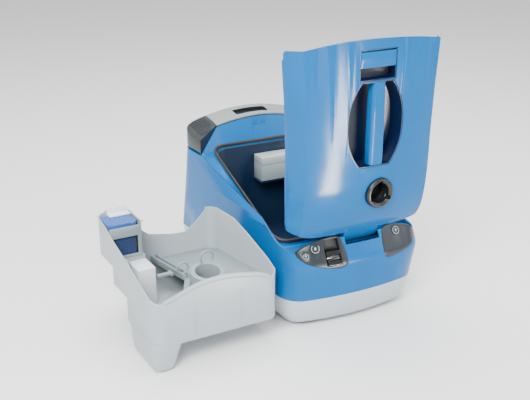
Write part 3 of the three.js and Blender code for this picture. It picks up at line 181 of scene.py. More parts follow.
def solid(points, faces, name="solid"):
    mesh = bpy.data.meshes.new(name)
    mesh.from_pydata([tuple(p) for p in points], [], faces)
    bm = bmesh.new()
    bm.from_mesh(mesh)
    bmesh.ops.remove_doubles(bm, verts=bm.verts, dist=1e-4)
    bmesh.ops.recalc_face_normals(bm, faces=bm.faces)
    bm.to_mesh(mesh)
    bm.free()
    obj = bpy.data.objects.new(name, mesh)
    bpy.context.scene.collection.objects.link(obj)
    return obj


def loft(rings, capped=True):
    n = len(rings[0])
    points = [p for ring in rings for p in ring]
    faces = []
    for r in range(len(rings) - 1 if capped else len(rings)):
        a, b = r * n, (r + 1) % len(rings) * n
        faces += [(a + k, a + (k + 1) % n, b + (k + 1) % n, b + k) for k in range(n)]
    if capped:
        faces.append(tuple(range(n)))
        faces.append(tuple(range(len(points) - n, len(points))))
    return solid(points, faces)


def sheet_solid(top, bottom):
    """A closed body between two grids of points."""
    columns, rows = len(top), len(top[0])
    points = [p for column in top for p in column] + [p for column in bottom for p in column]
    shift = columns * rows
    faces = []
    for i in range(columns - 1):
        for j in range(rows - 1):
            a = i * rows + j
            quad = (a, a + rows, a + rows + 1, a + 1)
            faces.append(quad)
            faces.append(tuple(k + shift for k in quad))
    edge = [i * rows for i in range(columns)]
    edge += [(columns - 1) * rows + j for j in range(1, rows)]
    edge += [i * rows + rows - 1 for i in range(columns - 2, -1, -1)]
    edge += [j for j in range(rows - 2, 0, -1)]
    for a, b in zip(edge, edge[1:] + edge[:1]):
        faces.append((a, b, b + shift, a + shift))
    return solid(points, faces)


def under(height, xs, ys, floor):
    top = [[(x, y, height(x, y)) for y in ys] for x in xs]
    bottom = [[(x, y, floor) for y in ys] for x in xs]
    return sheet_solid(top, bottom)


def prism(points, low, high, axis="z"):
    order = {"z": (0, 1, 2), "y": (0, 2, 1), "x": (2, 0, 1)}[axis]
    return loft([[tuple((a, b, c)[k] for k in order) for a, b in points] for c in (low, high)])


def box(x0, x1, y0, y1, z0, z1):
    return prism([(x0, y0), (x1, y0), (x1, y1), (x0, y1)], z0, z1)


def circle(x, y, radius, sides):
    return [(x + radius * math.cos(k * math.tau / sides), y + radius * math.sin(k * math.tau / sides))
            for k in range(sides)]


def rod(axis, x, y, z, radius, length, sides=48):
    centre = {"z": (x, y), "y": (x, z), "x": (y, z)}[axis]
    start = {"z": z, "y": y, "x": x}[axis]
    return prism(circle(*centre, radius, sides), start, start + length, axis)


def turned(profile, x, y, sides=64):
    """A closed ring turned about an upright axis: profile holds (radius, height)."""
    rings = [[(x + r * math.cos(a), y + r * math.sin(a), h) for r, h in profile]
             for a in [k * math.tau / sides for k in range(sides)]]
    return loft(rings, capped=False)


def rounded_rectangle(x0, x1, y0, y1, radius, arc=8):
    points = []
    for cx, cy, start in ((x1 - radius, y0 + radius, -90), (x1 - radius, y1 - radius, 0),
                          (x0 + radius, y1 - radius, 90), (x0 + radius, y0 + radius, 180)):
        for angle in steps(start, start + 90, arc):
            a = math.radians(angle)
            points.append((cx + radius * math.cos(a), cy + radius * math.sin(a)))
    return points


def facing(direction):
    return direction.normalized().to_track_quat("Z", "Y").to_matrix()


def turned_circle(centre, turn, radius, sides):
    return [tuple(centre + turn @ Vector((x, y, 0))) for x, y in circle(0, 0, radius, sides)]


def tube(points, radius, sides=10):
    """A round bead along a line of points."""
    rings = []
    for k, p in enumerate(points):
        ahead = Vector(points[min(k + 1, len(points) - 1)]) - Vector(points[max(k - 1, 0)])
        rings.append(turned_circle(Vector(p), facing(ahead), radius, sides))
    return loft(rings)


def evaluated_mesh(obj):
    graph = bpy.context.evaluated_depsgraph_get()
    return bpy.data.meshes.new_from_object(obj.evaluated_get(graph))


def apply_modifiers(obj):
    mesh = evaluated_mesh(obj)
    obj.modifiers.clear()
    obj.data = mesh
    return obj


def combine(obj, other, operation):
    modifier = obj.modifiers.new("combine", "BOOLEAN")
    modifier.solver = "EXACT"
    modifier.operation = operation
    modifier.object = other
    apply_modifiers(obj)
    bpy.data.objects.remove(other)
    return obj


def cut(obj, *others):
    for other in others:
        combine(obj, other, "DIFFERENCE")
    return obj


def join(obj, *others):
    for other in others:
        combine(obj, other, "UNION")
    return obj


def keep(obj, other):
    return combine(obj, other, "INTERSECT")


def twin(obj):
    copy = bpy.data.objects.new(obj.name, obj.data.copy())
    bpy.context.scene.collection.objects.link(copy)
    return copy


def soften(obj, width, angle=32, segments=2):
    """Rounds the edges sharper than an angle, then shades the rest smooth."""
    bm = bmesh.new()
    bm.from_mesh(obj.data)
    bmesh.ops.remove_doubles(bm, verts=bm.verts, dist=width * 0.02)
    bmesh.ops.dissolve_limit(bm, angle_limit=math.radians(0.4), verts=bm.verts, edges=bm.edges)
    bm.to_mesh(obj.data)
    bm.free()
    if width:
        bevel = obj.modifiers.new("soft edges", "BEVEL")
        bevel.limit_method = "ANGLE"
        bevel.angle_limit = math.radians(angle)
        bevel.width = width
        bevel.segments = segments
        bevel.use_clamp_overlap = True
        apply_modifiers(obj)
    shade(obj, angle)
    return obj


def shade(obj, angle=32):
    bm = bmesh.new()
    bm.from_mesh(obj.data)
    for face in bm.faces:
        face.smooth = True
    for edge in bm.edges:
        edge.smooth = len(edge.link_faces) == 2 and edge.calc_face_angle(0) < math.radians(angle)
    bm.to_mesh(obj.data)
    bm.free()


def settle(obj, name, place, material, body, nodes=(), angle=32):
    """Puts a solid made in millimetres in the row frame and hands it to its body."""
    for vertex in obj.data.vertices:
        vertex.co = place(vertex.co)
    bm = bmesh.new()
    bm.from_mesh(obj.data)
    bmesh.ops.recalc_face_normals(bm, faces=bm.faces)
    bm.to_mesh(obj.data)
    bm.free()
    shade(obj, angle)
    return hand_over(obj, name, material, body, nodes)


def hand_over(obj, name, material, body, nodes=()):
    obj.name = name
    obj.data.name = name
    obj.data.materials.clear()
    obj.data.materials.append(FINISHES[material])
    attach(obj, body)
    if nodes:
        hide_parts(*nodes)
    return obj


# ------------------------------------------------------------------ housing outline


def plan_ring(plan, inset=0, bow_steps=12, corner_steps=9, side_steps=22, rear_steps=8):
    front = plan["front"] + inset
    rear = plan["rear"] - inset
    half_front = plan["half_front"] - inset
    half_rear = plan["half_rear"] - inset
    rf = max(4, plan["front_radius"] - inset)
    rr = max(4, plan["rear_radius"] - inset)

    def bow_at(x):
        return front - plan["bow"] * (1 - (x / half_front) ** 2)

    def side_at(y):
        return mix(half_front, half_rear, (y - front) / (rear - front))

    def bend(a, b, c, t):
        return tuple(mix(mix(a[k], b[k], t), mix(b[k], c[k], t), t) for k in (0, 1))

    right = [(x, bow_at(x)) for x in steps(0, half_front - rf, bow_steps)[:-1]]
    start = (half_front - rf, bow_at(half_front - rf))
    end = (side_at(front + rf), front + rf)
    right += [bend(start, (half_front, front - plan["bow"] * 0.12), end, k / corner_steps)
              for k in range(corner_steps)]
    right += [(side_at(y), y) for y in steps(front + rf, rear - rr, side_steps)[:-1]]
    back = (side_at(rear - rr), rear - rr)
    right += [bend(back, (half_rear, rear), (half_rear - rr, rear), k / corner_steps)
              for k in range(corner_steps)]
    right += [(x, rear) for x in steps(half_rear - rr, 0, rear_steps)]
    return right + [(-x, y) for x, y in reversed(right[1:-1])]


SECTION_KEYS = ("front", "bow", "half_front", "half_rear", "front_radius", "rear_radius")
SECTIONS = (
    (SEAM_Z, (FRONT_Y, FRONT_BOW, FRONT_HALF, REAR_HALF, 40, 20)),
    (NOSE_Z, (FRONT_Y - 22, FRONT_BOW + 3, FRONT_HALF - 2, REAR_HALF - 3, 46, 32)),
    (BROW_Z, (FRONT_Y + 3, FRONT_BOW + 1, FRONT_HALF - 5, REAR_HALF - 5, 46, 40)),
    (SHELF_Z, (FRONT_Y + 3, FRONT_BOW + 1, FRONT_HALF - 7, REAR_HALF - 7, 46, 46)),
    (SHELF_Z + 60, (FRONT_Y + 3, FRONT_BOW + 1, FRONT_HALF - 9, REAR_HALF - 9, 46, 56)),
)


def plan_at(z):
    plan = {"rear": REAR_Y}
    for k, key in enumerate(SECTION_KEYS):
        plan[key] = along([(height, values[k]) for height, values in SECTIONS], z)
    return plan


def rounded_plan_at(z):
    """The outline at a height, with the front's bulge rounded off."""
    reach = 7 if z > SEAM_Z + 7 else 0
    plans = [plan_at(z + reach * k / 2) for k in range(-2, 3)]
    return {key: sum(plan[key] for plan in plans) / 5 for key in plans[0]}


def housing_ring(z, inset=0):
    return [(x, y, z) for x, y in plan_ring(rounded_plan_at(z), inset)]


def housing_block(inset, foot, head=SHELF_Z + 70):
    return loft([housing_ring(z, inset) for z in steps(foot, head, 26)])


def hood_plane(y):
    return HINGE_Z + math.tan(math.radians(HOOD_CLOSED_DEG)) * (y - HINGE_Y)


def rim_height(y):
    return RIM_FRONT_Z + RIM_SLOPE * (y - OPENING_FRONT_Y)


def rear_top(x):
    return 304 - 15 * (x / 100) ** 2 + 1.2 * (x / 100) ** 4


def rear_height(x, y):
    return rear_top(x) - 7 * clamp01((REAR_Y - y) / 60) ** 2


def edge_height(x, y):
    brow = mix(BROW_Z - 4, 158, smooth((abs(x) - 50) / 80))
    side = min(SHELF_Z, hood_plane(y) - 1)
    return mix(brow, side, smooth((y + 178) / 90))


OPENING = {"front": OPENING_FRONT_Y, "bow": 4, "half_front": OPENING_FRONT_HALF, "rear": OPENING_REAR_Y,
           "half_rear": OPENING_REAR_HALF, "front_radius": 26, "rear_radius": 26}
RIDGE_HALF = 95
RIDGE_Y = 188
DECK_FOOT_Y = 164
CORNER_Y = 150
LEDGE_FRONT_Y = OPENING_FRONT_Y - GASKET_WIDTH - 6


def opening_ring(grow, z=None):
    return [(x, y, rim_height(y) if z is None else z) for x, y in plan_ring(OPENING, -grow)]


def deck_t(x):
    return clamp01((abs(x) - RIDGE_HALF) / (CORNER_Y - 1 - RIDGE_HALF))


def ridge_height(x):
    flat = min(abs(x), RIDGE_HALF)
    return mix(rear_height(flat, RIDGE_Y) - WALL - 2 * GAP, SHELF_Z, deck_t(x))


def opening_half(y):
    t = (y - OPENING_FRONT_Y) / (OPENING_REAR_Y - OPENING_FRONT_Y)
    return mix(OPENING_FRONT_HALF, OPENING_REAR_HALF, t)


def housing_half(y):
    plan = plan_at(BROW_Z)
    return mix(plan["half_front"], plan["half_rear"], (y - plan["front"]) / (REAR_Y - plan["front"]))


def ledge_height(x, y):
    inner = opening_half(y) + GASKET_WIDTH + 1
    outer = housing_half(y) - 3
    aside = clamp01((abs(x) - inner) / (outer - inner))
    ahead = clamp01((LEDGE_FRONT_Y - y) / 66)
    level = mix(rim_height(max(y, LEDGE_FRONT_Y)) - 3, edge_height(x, y), max(aside, ahead))
    return mix(level, SHELF_Z, smooth((y - 112) / 28))


def under_top(drop, face_drop):
    """The space below the housing's top, its late rows climbing the deck's rear face."""
    columns = steps(0, 1, 12) + steps(1, 2, 6)[1:] + steps(2, 4, 8)[1:] + [5]
    signed = [-c for c in reversed(columns[1:])] + columns

    def x_at(c, y):
        inner = opening_half(y) + GASKET_WIDTH + 1
        outer = housing_half(y)
        places = ((0, 0), (1, RIDGE_HALF), (2, inner), (3, (inner + outer) / 2), (4, outer - 2),
                  (5, outer + 30))
        return math.copysign(along(places, abs(c)), c)

    ys = steps(-270, -205, 4) + steps(-200, LEDGE_FRONT_Y, 14) + steps(LEDGE_FRONT_Y, 140, 30)[1:]
    rows = [[(x_at(c, y), y, ledge_height(x_at(c, y), y) - drop) for c in signed] for y in ys]
    late = (
        (lambda t: mix(DECK_FOOT_Y, CORNER_Y - 4, t), lambda x: SHELF_Z + 0.5),
        (lambda t: mix(RIDGE_Y, CORNER_Y, t), ridge_height),
        (lambda t: mix(RIDGE_Y + 5, CORNER_Y + 2, t), lambda x: ridge_height(x) - 0.5),
        (lambda t: mix(REAR_Y - 9, CORNER_Y + 8, t), lambda x: SHELF_Z),
        (lambda t: REAR_Y + 30, lambda x: SHELF_Z),
    )
    for place, height in late:
        xs = [x_at(c, CORNER_Y) for c in signed]
        rows.append([(x, place(deck_t(x)), height(x) - face_drop) for x in xs])
    bottom = [[(x, y, 0) for x, y, _ in row] for row in rows]
    return sheet_solid(rows, bottom)


# ------------------------------------------------------------------ hood, laid flat: x, along, height


HOOD_HALVES = ((10, 132), (30, 141), (116, 142), (174, 141.5), (258, 145), (HOOD_LENGTH + 16, HOOD_HALF + 1))
HOOD_CROWNS = ((-20, 8), (0, 20), (10, 26), (30, 38), (60, 49), (100, 55), (150, 57.5), (220, HOOD_CROWN),
               (400, HOOD_CROWN))


def hood_half(l):
    return eased(HOOD_HALVES, l)


def hood_span(u):
    return 10 + 16 * abs(u) ** 8, HOOD_LENGTH + HOOD_END_BOW * (1 - u * u)


def crown_at(u, l):
    a = abs(u)
    top = eased(HOOD_CROWNS, l) * (1 - 0.27 * (min(a, CREASE) / CREASE) ** 2.2)
    return top if a <= CREASE else top * (1 - 0.72 * (a - CREASE) / (1 - CREASE))


def hood_height(x, l):
    return crown_at(max(-1.0, min(1.0, x / hood_half(l))), l)


def spread(t):
    a = abs(t)
    bent = a / 0.8 * CREASE if a < 0.8 else mix(CREASE, 1, (a - 0.8) / 0.2)
    return math.copysign(bent, t)


def hood_outer(t, v):
    u = spread(t)
    l0, l1 = hood_span(u)
    l = mix(l0, l1, v)
    return (u * hood_half(l), l, crown_at(u, l))


def hood_inner(t, v):
    u = spread(t)
    l0, l1 = hood_span(u)
    l = mix(l0 + HOOD_WALL, l1 - HOOD_WALL, v)
    flange = 3 * smooth((abs(u) - CREASE + 0.05) / 0.06)
    return (u * (hood_half(l) - HOOD_WALL), l, max(3, crown_at(u, l) - HOOD_WALL - flange))


def hood_foot(p):
    end = smooth((p[1] - HOOD_LENGTH + 20) / 14)
    return (p[0], p[1] - 6 * end, end * min(26, 0.6 * hood_height(p[0], p[1])))


def hood_grid(nu=80, nv=54):
    grids = [[[surface(i / nu * 2 - 1, j / nv) for j in range(nv + 1)] for i in range(nu + 1)]
             for surface in (hood_outer, hood_inner)]
    rows = nv + 1
    shift = (nu + 1) * rows
    points = [p for grid in grids for column in grid for p in column]
    faces = []
    for g in (0, 1):
        for i in range(nu):
            for j in range(nv):
                a = g * shift + i * rows + j
                faces.append((a, a + rows, a + rows + 1, a + 1))
    edge = [i * rows for i in range(nu)] + [nu * rows + j for j in range(nv)]
    edge += [i * rows + nv for i in range(nu, 0, -1)] + [j for j in range(nv, 0, -1)]
    n = len(edge)
    outer_foot = len(points)
    points += [hood_foot(points[k]) for k in edge]
    inner_foot = len(points)
    points += [hood_foot(points[k + shift]) for k in edge]
    for k in range(n):
        m = (k + 1) % n
        faces.append((edge[k], edge[m], outer_foot + m, outer_foot + k))
        faces.append((outer_foot + k, outer_foot + m, inner_foot + m, inner_foot + k))
        faces.append((inner_foot + k, inner_foot + m, edge[m] + shift, edge[k] + shift))
    return solid(points, faces)


def grip_outline(grow=0, count=20):
    half = GRIP_WIDTH / 2 + grow
    end = GRIP_LENGTH / 2 + grow
    ts = steps(-1, 1, count)
    right = [(half * (1 - 0.45 * abs(t) ** 2.4), GRIP_CENTRE + t * end) for t in ts]
    return right + [(-x, y) for x, y in reversed(right)]


def under_hood(drop, floor=-60):
    """The space below the hood's outside, round the grip recess."""
    return under(lambda x, l: hood_height(x, l) - drop, steps(-76, 76, 38), steps(120, 345, 56), floor)


# ------------------------------------------------------------------ finishes


def hexed(code):
    """A colour written as on a paint card, as the shader wants it."""
    parts = [int(code[k:k + 2], 16) / 255 for k in (0, 2, 4)]
    return tuple(p / 12.92 if p <= 0.04045 else ((p + 0.055) / 1.055) ** 2.4 for p in parts) + (1.0,)


def group_socket(tree, name, kind, direction="INPUT", default=None):
    socket = tree.interface.new_socket(name=name, in_out=direction, socket_type=kind)
    if default is not None:
        socket.default_value = default
    return socket


def wire(tree, source, target):
    tree.links.new(source, target)


def node(tree, kind, **values):
    made = tree.nodes.new(kind)
    for key, value in values.items():
        if hasattr(made, key):
            setattr(made, key, value)
        else:
            made.inputs[key.replace("_", " ").title()].default_value = value
    return made


def colour_sockets(sockets):
    return [socket for socket in sockets if socket.type == "RGBA"]


def make_moulded():
    """Moulded plastic: cloudy colour, uneven gloss, and fine grain in the height."""
    tree = bpy.data.node_groups.new("Moulded plastic", "ShaderNodeTree")
    group_socket(tree, "Colour", "NodeSocketColor", default=(0.5, 0.5, 0.5, 1))
    group_socket(tree, "Shade", "NodeSocketColor", default=(0.4, 0.4, 0.4, 1))
    group_socket(tree, "Roughness", "NodeSocketFloat", default=0.3)
    group_socket(tree, "Spread", "NodeSocketFloat", default=0.08)
    group_socket(tree, "Grain", "NodeSocketFloat", default=0.2)
    group_socket(tree, "Grain Size", "NodeSocketFloat", default=900.0)
    group_socket(tree, "Colour", "NodeSocketColor", "OUTPUT")
    group_socket(tree, "Roughness", "NodeSocketFloat", "OUTPUT")
    group_socket(tree, "Height", "NodeSocketFloat", "OUTPUT")
    given = tree.nodes.new("NodeGroupInput")
    made = tree.nodes.new("NodeGroupOutput")
    place = tree.nodes.new("ShaderNodeTexCoord")
    clouds = node(tree, "ShaderNodeTexNoise", scale=9.0, detail=3.0)
    wipes = node(tree, "ShaderNodeTexNoise", scale=34.0, detail=5.0, roughness=0.6)
    grain = node(tree, "ShaderNodeTexNoise", detail=2.0)
    wire(tree, given.outputs["Grain Size"], grain.inputs["Scale"])
    for texture in (clouds, wipes, grain):
        wire(tree, place.outputs["Object"], texture.inputs["Vector"])
    blend = node(tree, "ShaderNodeMix", data_type="RGBA")
    wire(tree, clouds.outputs["Fac"], blend.inputs["Factor"])
    shade, colour = colour_sockets(blend.inputs)
    wire(tree, given.outputs["Shade"], shade)
    wire(tree, given.outputs["Colour"], colour)
    wire(tree, colour_sockets(blend.outputs)[0], made.inputs["Colour"])
    centred = node(tree, "ShaderNodeMath", operation="SUBTRACT")
    wire(tree, wipes.outputs["Fac"], centred.inputs[0])
    centred.inputs[1].default_value = 0.5
    scaled = node(tree, "ShaderNodeMath", operation="MULTIPLY_ADD")
    wire(tree, centred.outputs[0], scaled.inputs[0])
    wire(tree, given.outputs["Spread"], scaled.inputs[1])
    wire(tree, given.outputs["Roughness"], scaled.inputs[2])
    wire(tree, scaled.outputs[0], made.inputs["Roughness"])
    height = node(tree, "ShaderNodeMath", operation="MULTIPLY")
    wire(tree, grain.outputs["Fac"], height.inputs[0])
    wire(tree, given.outputs["Grain"], height.inputs[1])
    wire(tree, height.outputs[0], made.inputs["Height"])
    return tree


def make_cells():
    """Open-cell foam: dark pores between pale walls."""
    tree = bpy.data.node_groups.new("Foam cells", "ShaderNodeTree")
    group_socket(tree, "Colour", "NodeSocketColor", default=(0.1, 0.3, 0.7, 1))
    group_socket(tree, "Pore", "NodeSocketColor", default=(0.02, 0.06, 0.2, 1))
    group_socket(tree, "Cell Size", "NodeSocketFloat", default=420.0)
    group_socket(tree, "Colour", "NodeSocketColor", "OUTPUT")
    group_socket(tree, "Height", "NodeSocketFloat", "OUTPUT")
    given = tree.nodes.new("NodeGroupInput")
    made = tree.nodes.new("NodeGroupOutput")
    place = tree.nodes.new("ShaderNodeTexCoord")
    cells = node(tree, "ShaderNodeTexVoronoi")
    wire(tree, place.outputs["Object"], cells.inputs["Vector"])
    wire(tree, given.outputs["Cell Size"], cells.inputs["Scale"])
    shape = node(tree, "ShaderNodeMapRange")
    shape.inputs["From Min"].default_value = 0.1
    shape.inputs["From Max"].default_value = 0.6
    wire(tree, cells.outputs["Distance"], shape.inputs["Value"])
    blend = node(tree, "ShaderNodeMix", data_type="RGBA")
    wire(tree, shape.outputs["Result"], blend.inputs[0])
    pore, colour = colour_sockets(blend.inputs)
    wire(tree, given.outputs["Pore"], pore)
    wire(tree, given.outputs["Colour"], colour)
    wire(tree, colour_sockets(blend.outputs)[0], made.inputs["Colour"])
    wire(tree, shape.outputs["Result"], made.inputs["Height"])
    return tree


FINISHES = {}


def principled(name):
    material = bpy.data.materials.new(name)
    material.use_nodes = True
    FINISHES[name] = material
    tree = material.node_tree
    return tree, tree.nodes["Principled BSDF"]


def bump(tree, shader, height, strength, distance):
    made = tree.nodes.new("ShaderNodeBump")
    made.inputs["Strength"].default_value = strength
    made.inputs["Distance"].default_value = distance
    wire(tree, height, made.inputs["Height"])
    wire(tree, made.outputs["Normal"], shader.inputs["Normal"])


def plastic(name, slot, colour, shade, roughness, spread=0.08, grain=0.2, size=900.0, coat=0.0,
            strength=0.15, **sockets):
    tree, shader = principled(name)
    group = tree.nodes.new("ShaderNodeGroup")
    group.node_tree = bpy.data.node_groups["Moulded plastic"]
    values = {"Colour": hexed(colour), "Shade": hexed(shade), "Roughness": roughness, "Spread": spread,
              "Grain": grain, "Grain Size": size}
    for key, value in values.items():
        group.inputs[key].default_value = value
    wire(tree, group.outputs["Colour"], shader.inputs["Base Color"])
    wire(tree, group.outputs["Roughness"], shader.inputs["Roughness"])
    bump(tree, shader, group.outputs["Height"], strength, 0.0004)
    shader.inputs["Coat Weight"].default_value = coat
    shader.inputs["Coat Roughness"].default_value = 0.04
    for key, value in sockets.items():
        shader.inputs[key.replace("_", " ")].default_value = value


def foam(name, colour, pore, size):
    tree, shader = principled(name)
    group = tree.nodes.new("ShaderNodeGroup")
    group.node_tree = bpy.data.node_groups["Foam cells"]
    group.inputs["Colour"].default_value = hexed(colour)
    group.inputs["Pore"].default_value = hexed(pore)
    group.inputs["Cell Size"].default_value = size
    wire(tree, group.outputs["Colour"], shader.inputs["Base Color"])
    shader.inputs["Roughness"].default_value = 0.92
    shader.inputs["Sheen Weight"].default_value = 0.25
    bump(tree, shader, group.outputs["Height"], 0.8, 0.0012)


def metal(name, colour, roughness):
    tree, shader = principled(name)
    group = tree.nodes.new("ShaderNodeGroup")
    group.node_tree = bpy.data.node_groups["Moulded plastic"]
    group.inputs["Colour"].default_value = hexed(colour)
    group.inputs["Shade"].default_value = hexed(colour)
    group.inputs["Roughness"].default_value = roughness
    group.inputs["Grain"].default_value = 0.4
    wire(tree, group.outputs["Colour"], shader.inputs["Base Color"])
    wire(tree, group.outputs["Roughness"], shader.inputs["Roughness"])
    bump(tree, shader, group.outputs["Height"], 0.2, 0.0003)
    shader.inputs["Metallic"].default_value = 1.0


def make_finishes(look):
    make_moulded()
    make_cells()
    blue = look.blue
    plastic("hood blue", "blue_plastic", blue, "005d9b", 0.16, grain=0.1, strength=0.06,
            Specular_IOR_Level=0.16)
    plastic("housing blue", "blue_plastic", blue, "005c99", 0.22, grain=0.15, strength=0.1,
            Specular_IOR_Level=0.16)
    plastic("navy", "navy_plastic", "03183a", "02122c", 0.35, grain=0.3)
    # Finish of the inner tub: its plastic colour darkened into navy as painted shade for the deep bay.
    plastic("bay navy and painted shade", "navy_plastic", "07213c", "051a30", 0.4, grain=0.3)
    plastic("base grey", "light_grey_plastic", look.grey, "b2babf", 0.38, grain=0.5, size=1400.0)
    plastic("tank grey", "tank_grey_plastic", look.tank, "9fa8ad", 0.42, grain=0.6, size=1400.0, strength=0.2)
    # Darker grey for the line under the tank's front lip: painted shade.
    plastic("lip shade grey", "tank_grey_plastic", "7f898e", "757f84", 0.5, grain=0.2)
    plastic("insert grey", "tank_grey_plastic", "8d9a9e", "829094", 0.4, grain=0.5, size=1400.0)
    plastic("cap grey", "cap_grey_plastic", look.cap, "82888b", 0.42, grain=0.8, size=1800.0, strength=0.25)
    plastic("anthracite", "anthracite_plastic", "262c31", "20262b", 0.42, grain=0.9, size=2200.0,
            strength=0.3)
    plastic("panel anthracite", "anthracite_plastic", look.panel, "161f27", 0.36, grain=0.7, size=2200.0,
            strength=0.25)
    plastic("gloss black", "black_plastic", "0c0e11", "090a0c", 0.12, coat=0.6, grain=0.05, strength=0.05)
    plastic("satin black", "black_plastic", "15181c", "101215", 0.4, grain=0.5)
    plastic("white plastic", "white_plastic", "e9ecee", "dde1e4", 0.4, grain=0.3)
    plastic("mark white", "white_plastic", "e4edf2", "dce6ec", 0.45, grain=0.1)
    plastic("mark grey", "white_plastic", "9fb0bb", "94a5b0", 0.45, grain=0.1)
    plastic("board", "board_green", "1f6b3a", "195a30", 0.5, grain=0.6)
    plastic("seal rubber", "gasket_rubber", "211d1c", "151313", 0.5, grain=0.8, size=1200.0, strength=0.3)
    plastic("soft rubber", "soft_rubber", "1c1c1c", "131313", 0.62, grain=0.9, size=1200.0, strength=0.3)
    plastic("pleat paper", "filter_paper", "eceeef", "dfe3e6", 0.8, grain=1.0, size=1500.0, strength=0.4)
    foam("bright foam", "0f5fb8", "062f6e", 620.0)
    foam("dark foam", "0c2f63", "041430", 420.0)
    metal("steel", "b8bcc0", 0.28)
    metal("cast aluminium", "b0b4b8", 0.4)


# ------------------------------------------------------------------ pieces


class CleanerLook(bpy.types.PropertyGroup):
    blue: bpy.props.StringProperty(name="Shell blue", description="Colour of the hood and the housing",
                                   default="0066a6")
    grey: bpy.props.StringProperty(name="Base grey", description="Colour of the base", default="bcc4c9")
    tank: bpy.props.StringProperty(name="Tank grey", description="Colour of the water tank", default="a9b1b6")
    cap: bpy.props.StringProperty(name="Cap grey", description="Colour of the rear cap", default="8e9497")
    panel: bpy.props.StringProperty(name="Panel grey", description="Colour of the control panels",
                                    default="1a232b")


class CleanerSizes(bpy.types.PropertyGroup):
    edge: bpy.props.FloatProperty(name="Edge rounding", description="Radius of moulded edges, in millimetres",
                                  default=0.7, min=0.0, max=2.0)
    bead: bpy.props.FloatProperty(name="Bead", description="Thickness of the raised beads, in millimetres",
                                  default=1.3, min=0.4, max=3.0)


def look():
    return bpy.context.scene.cleaner_look


def sizes():
    return bpy.context.scene.cleaner_sizes


PANEL_OUTLINE = ((46, 181), (82, 178), (114, 167), (128, 154), (118, 144), (105, 138), (74, 129), (39, 127),
                 (38, 150), (41, 166))
PANEL_MIDDLE_X = 82
PANEL_MIDDLE_Z = 154
SLIDER_X = -64
SLIDER_HALF = 13
SLIDER_FOOT = 135.5
SLIDER_HEIGHT = 23
WELL_HALF = 14.5
WELL_FOOT = 133.5
WELL_HEAD = 177
BUTTONS = {"power_button": (-94, 164, 8, "power_key"), "pump_button": (-111, 153, 5.5, "pump_key"),
           "rewind_button": (74, 168, 8, "rewind_key")}
SADDLE_HALF = 47
SADDLE_FRONT_Y = -203
SADDLE_REAR_Y = -178
SADDLE_FLOOR_Z = 158
TAB_NOTCH_HALF = 35.5
TAB_NOTCH_Z = 163.5
MARK_DEPTH = 0.12


def rounded_outline(points, rounds=3):
    """Cuts the corners off a closed outline, again and again, until it is round."""
    for _ in range(rounds):
        grown = []
        for k, p in enumerate(points):
            q = points[(k + 1) % len(points)]
            grown.append((mix(p[0], q[0], 0.25), mix(p[1], q[1], 0.25)))
            grown.append((mix(p[0], q[0], 0.75), mix(p[1], q[1], 0.75)))
        points = grown
    return points


def panel_outline(side, grow=0.0):
    """The panel's edge on one side, moved outward by grow."""
    moved = [(side * (x + math.copysign(grow, x - PANEL_MIDDLE_X)), z + math.copysign(grow, z - PANEL_MIDDLE_Z))
             for x, z in PANEL_OUTLINE]
    return rounded_outline(moved, 2)


def front_surface(x, z):
    plan = rounded_plan_at(z)
    flat = plan["front"] - plan["bow"] * (1 - (x / plan["half_front"]) ** 2)
    corner = max(0, abs(x) - (plan["half_front"] - plan["front_radius"]))
    return flat + 0.5 * corner ** 2 / plan["front_radius"]


def front_normal(x, z):
    dx = (front_surface(x + 2, z) - front_surface(x - 2, z)) / 4
    dz = (front_surface(x, z + 2) - front_surface(x, z - 2)) / 4
    return Vector((dx, -1, dz)).normalized()


def stub(x, z, radius, out, depth, sides=48):
    """A round peg square to the front surface."""
    normal = front_normal(x, z)
    centre = Vector((x, front_surface(x, z), z))
    return loft([turned_circle(centre + normal * reach, facing(normal), radius, sides)
                 for reach in (-depth, out)])


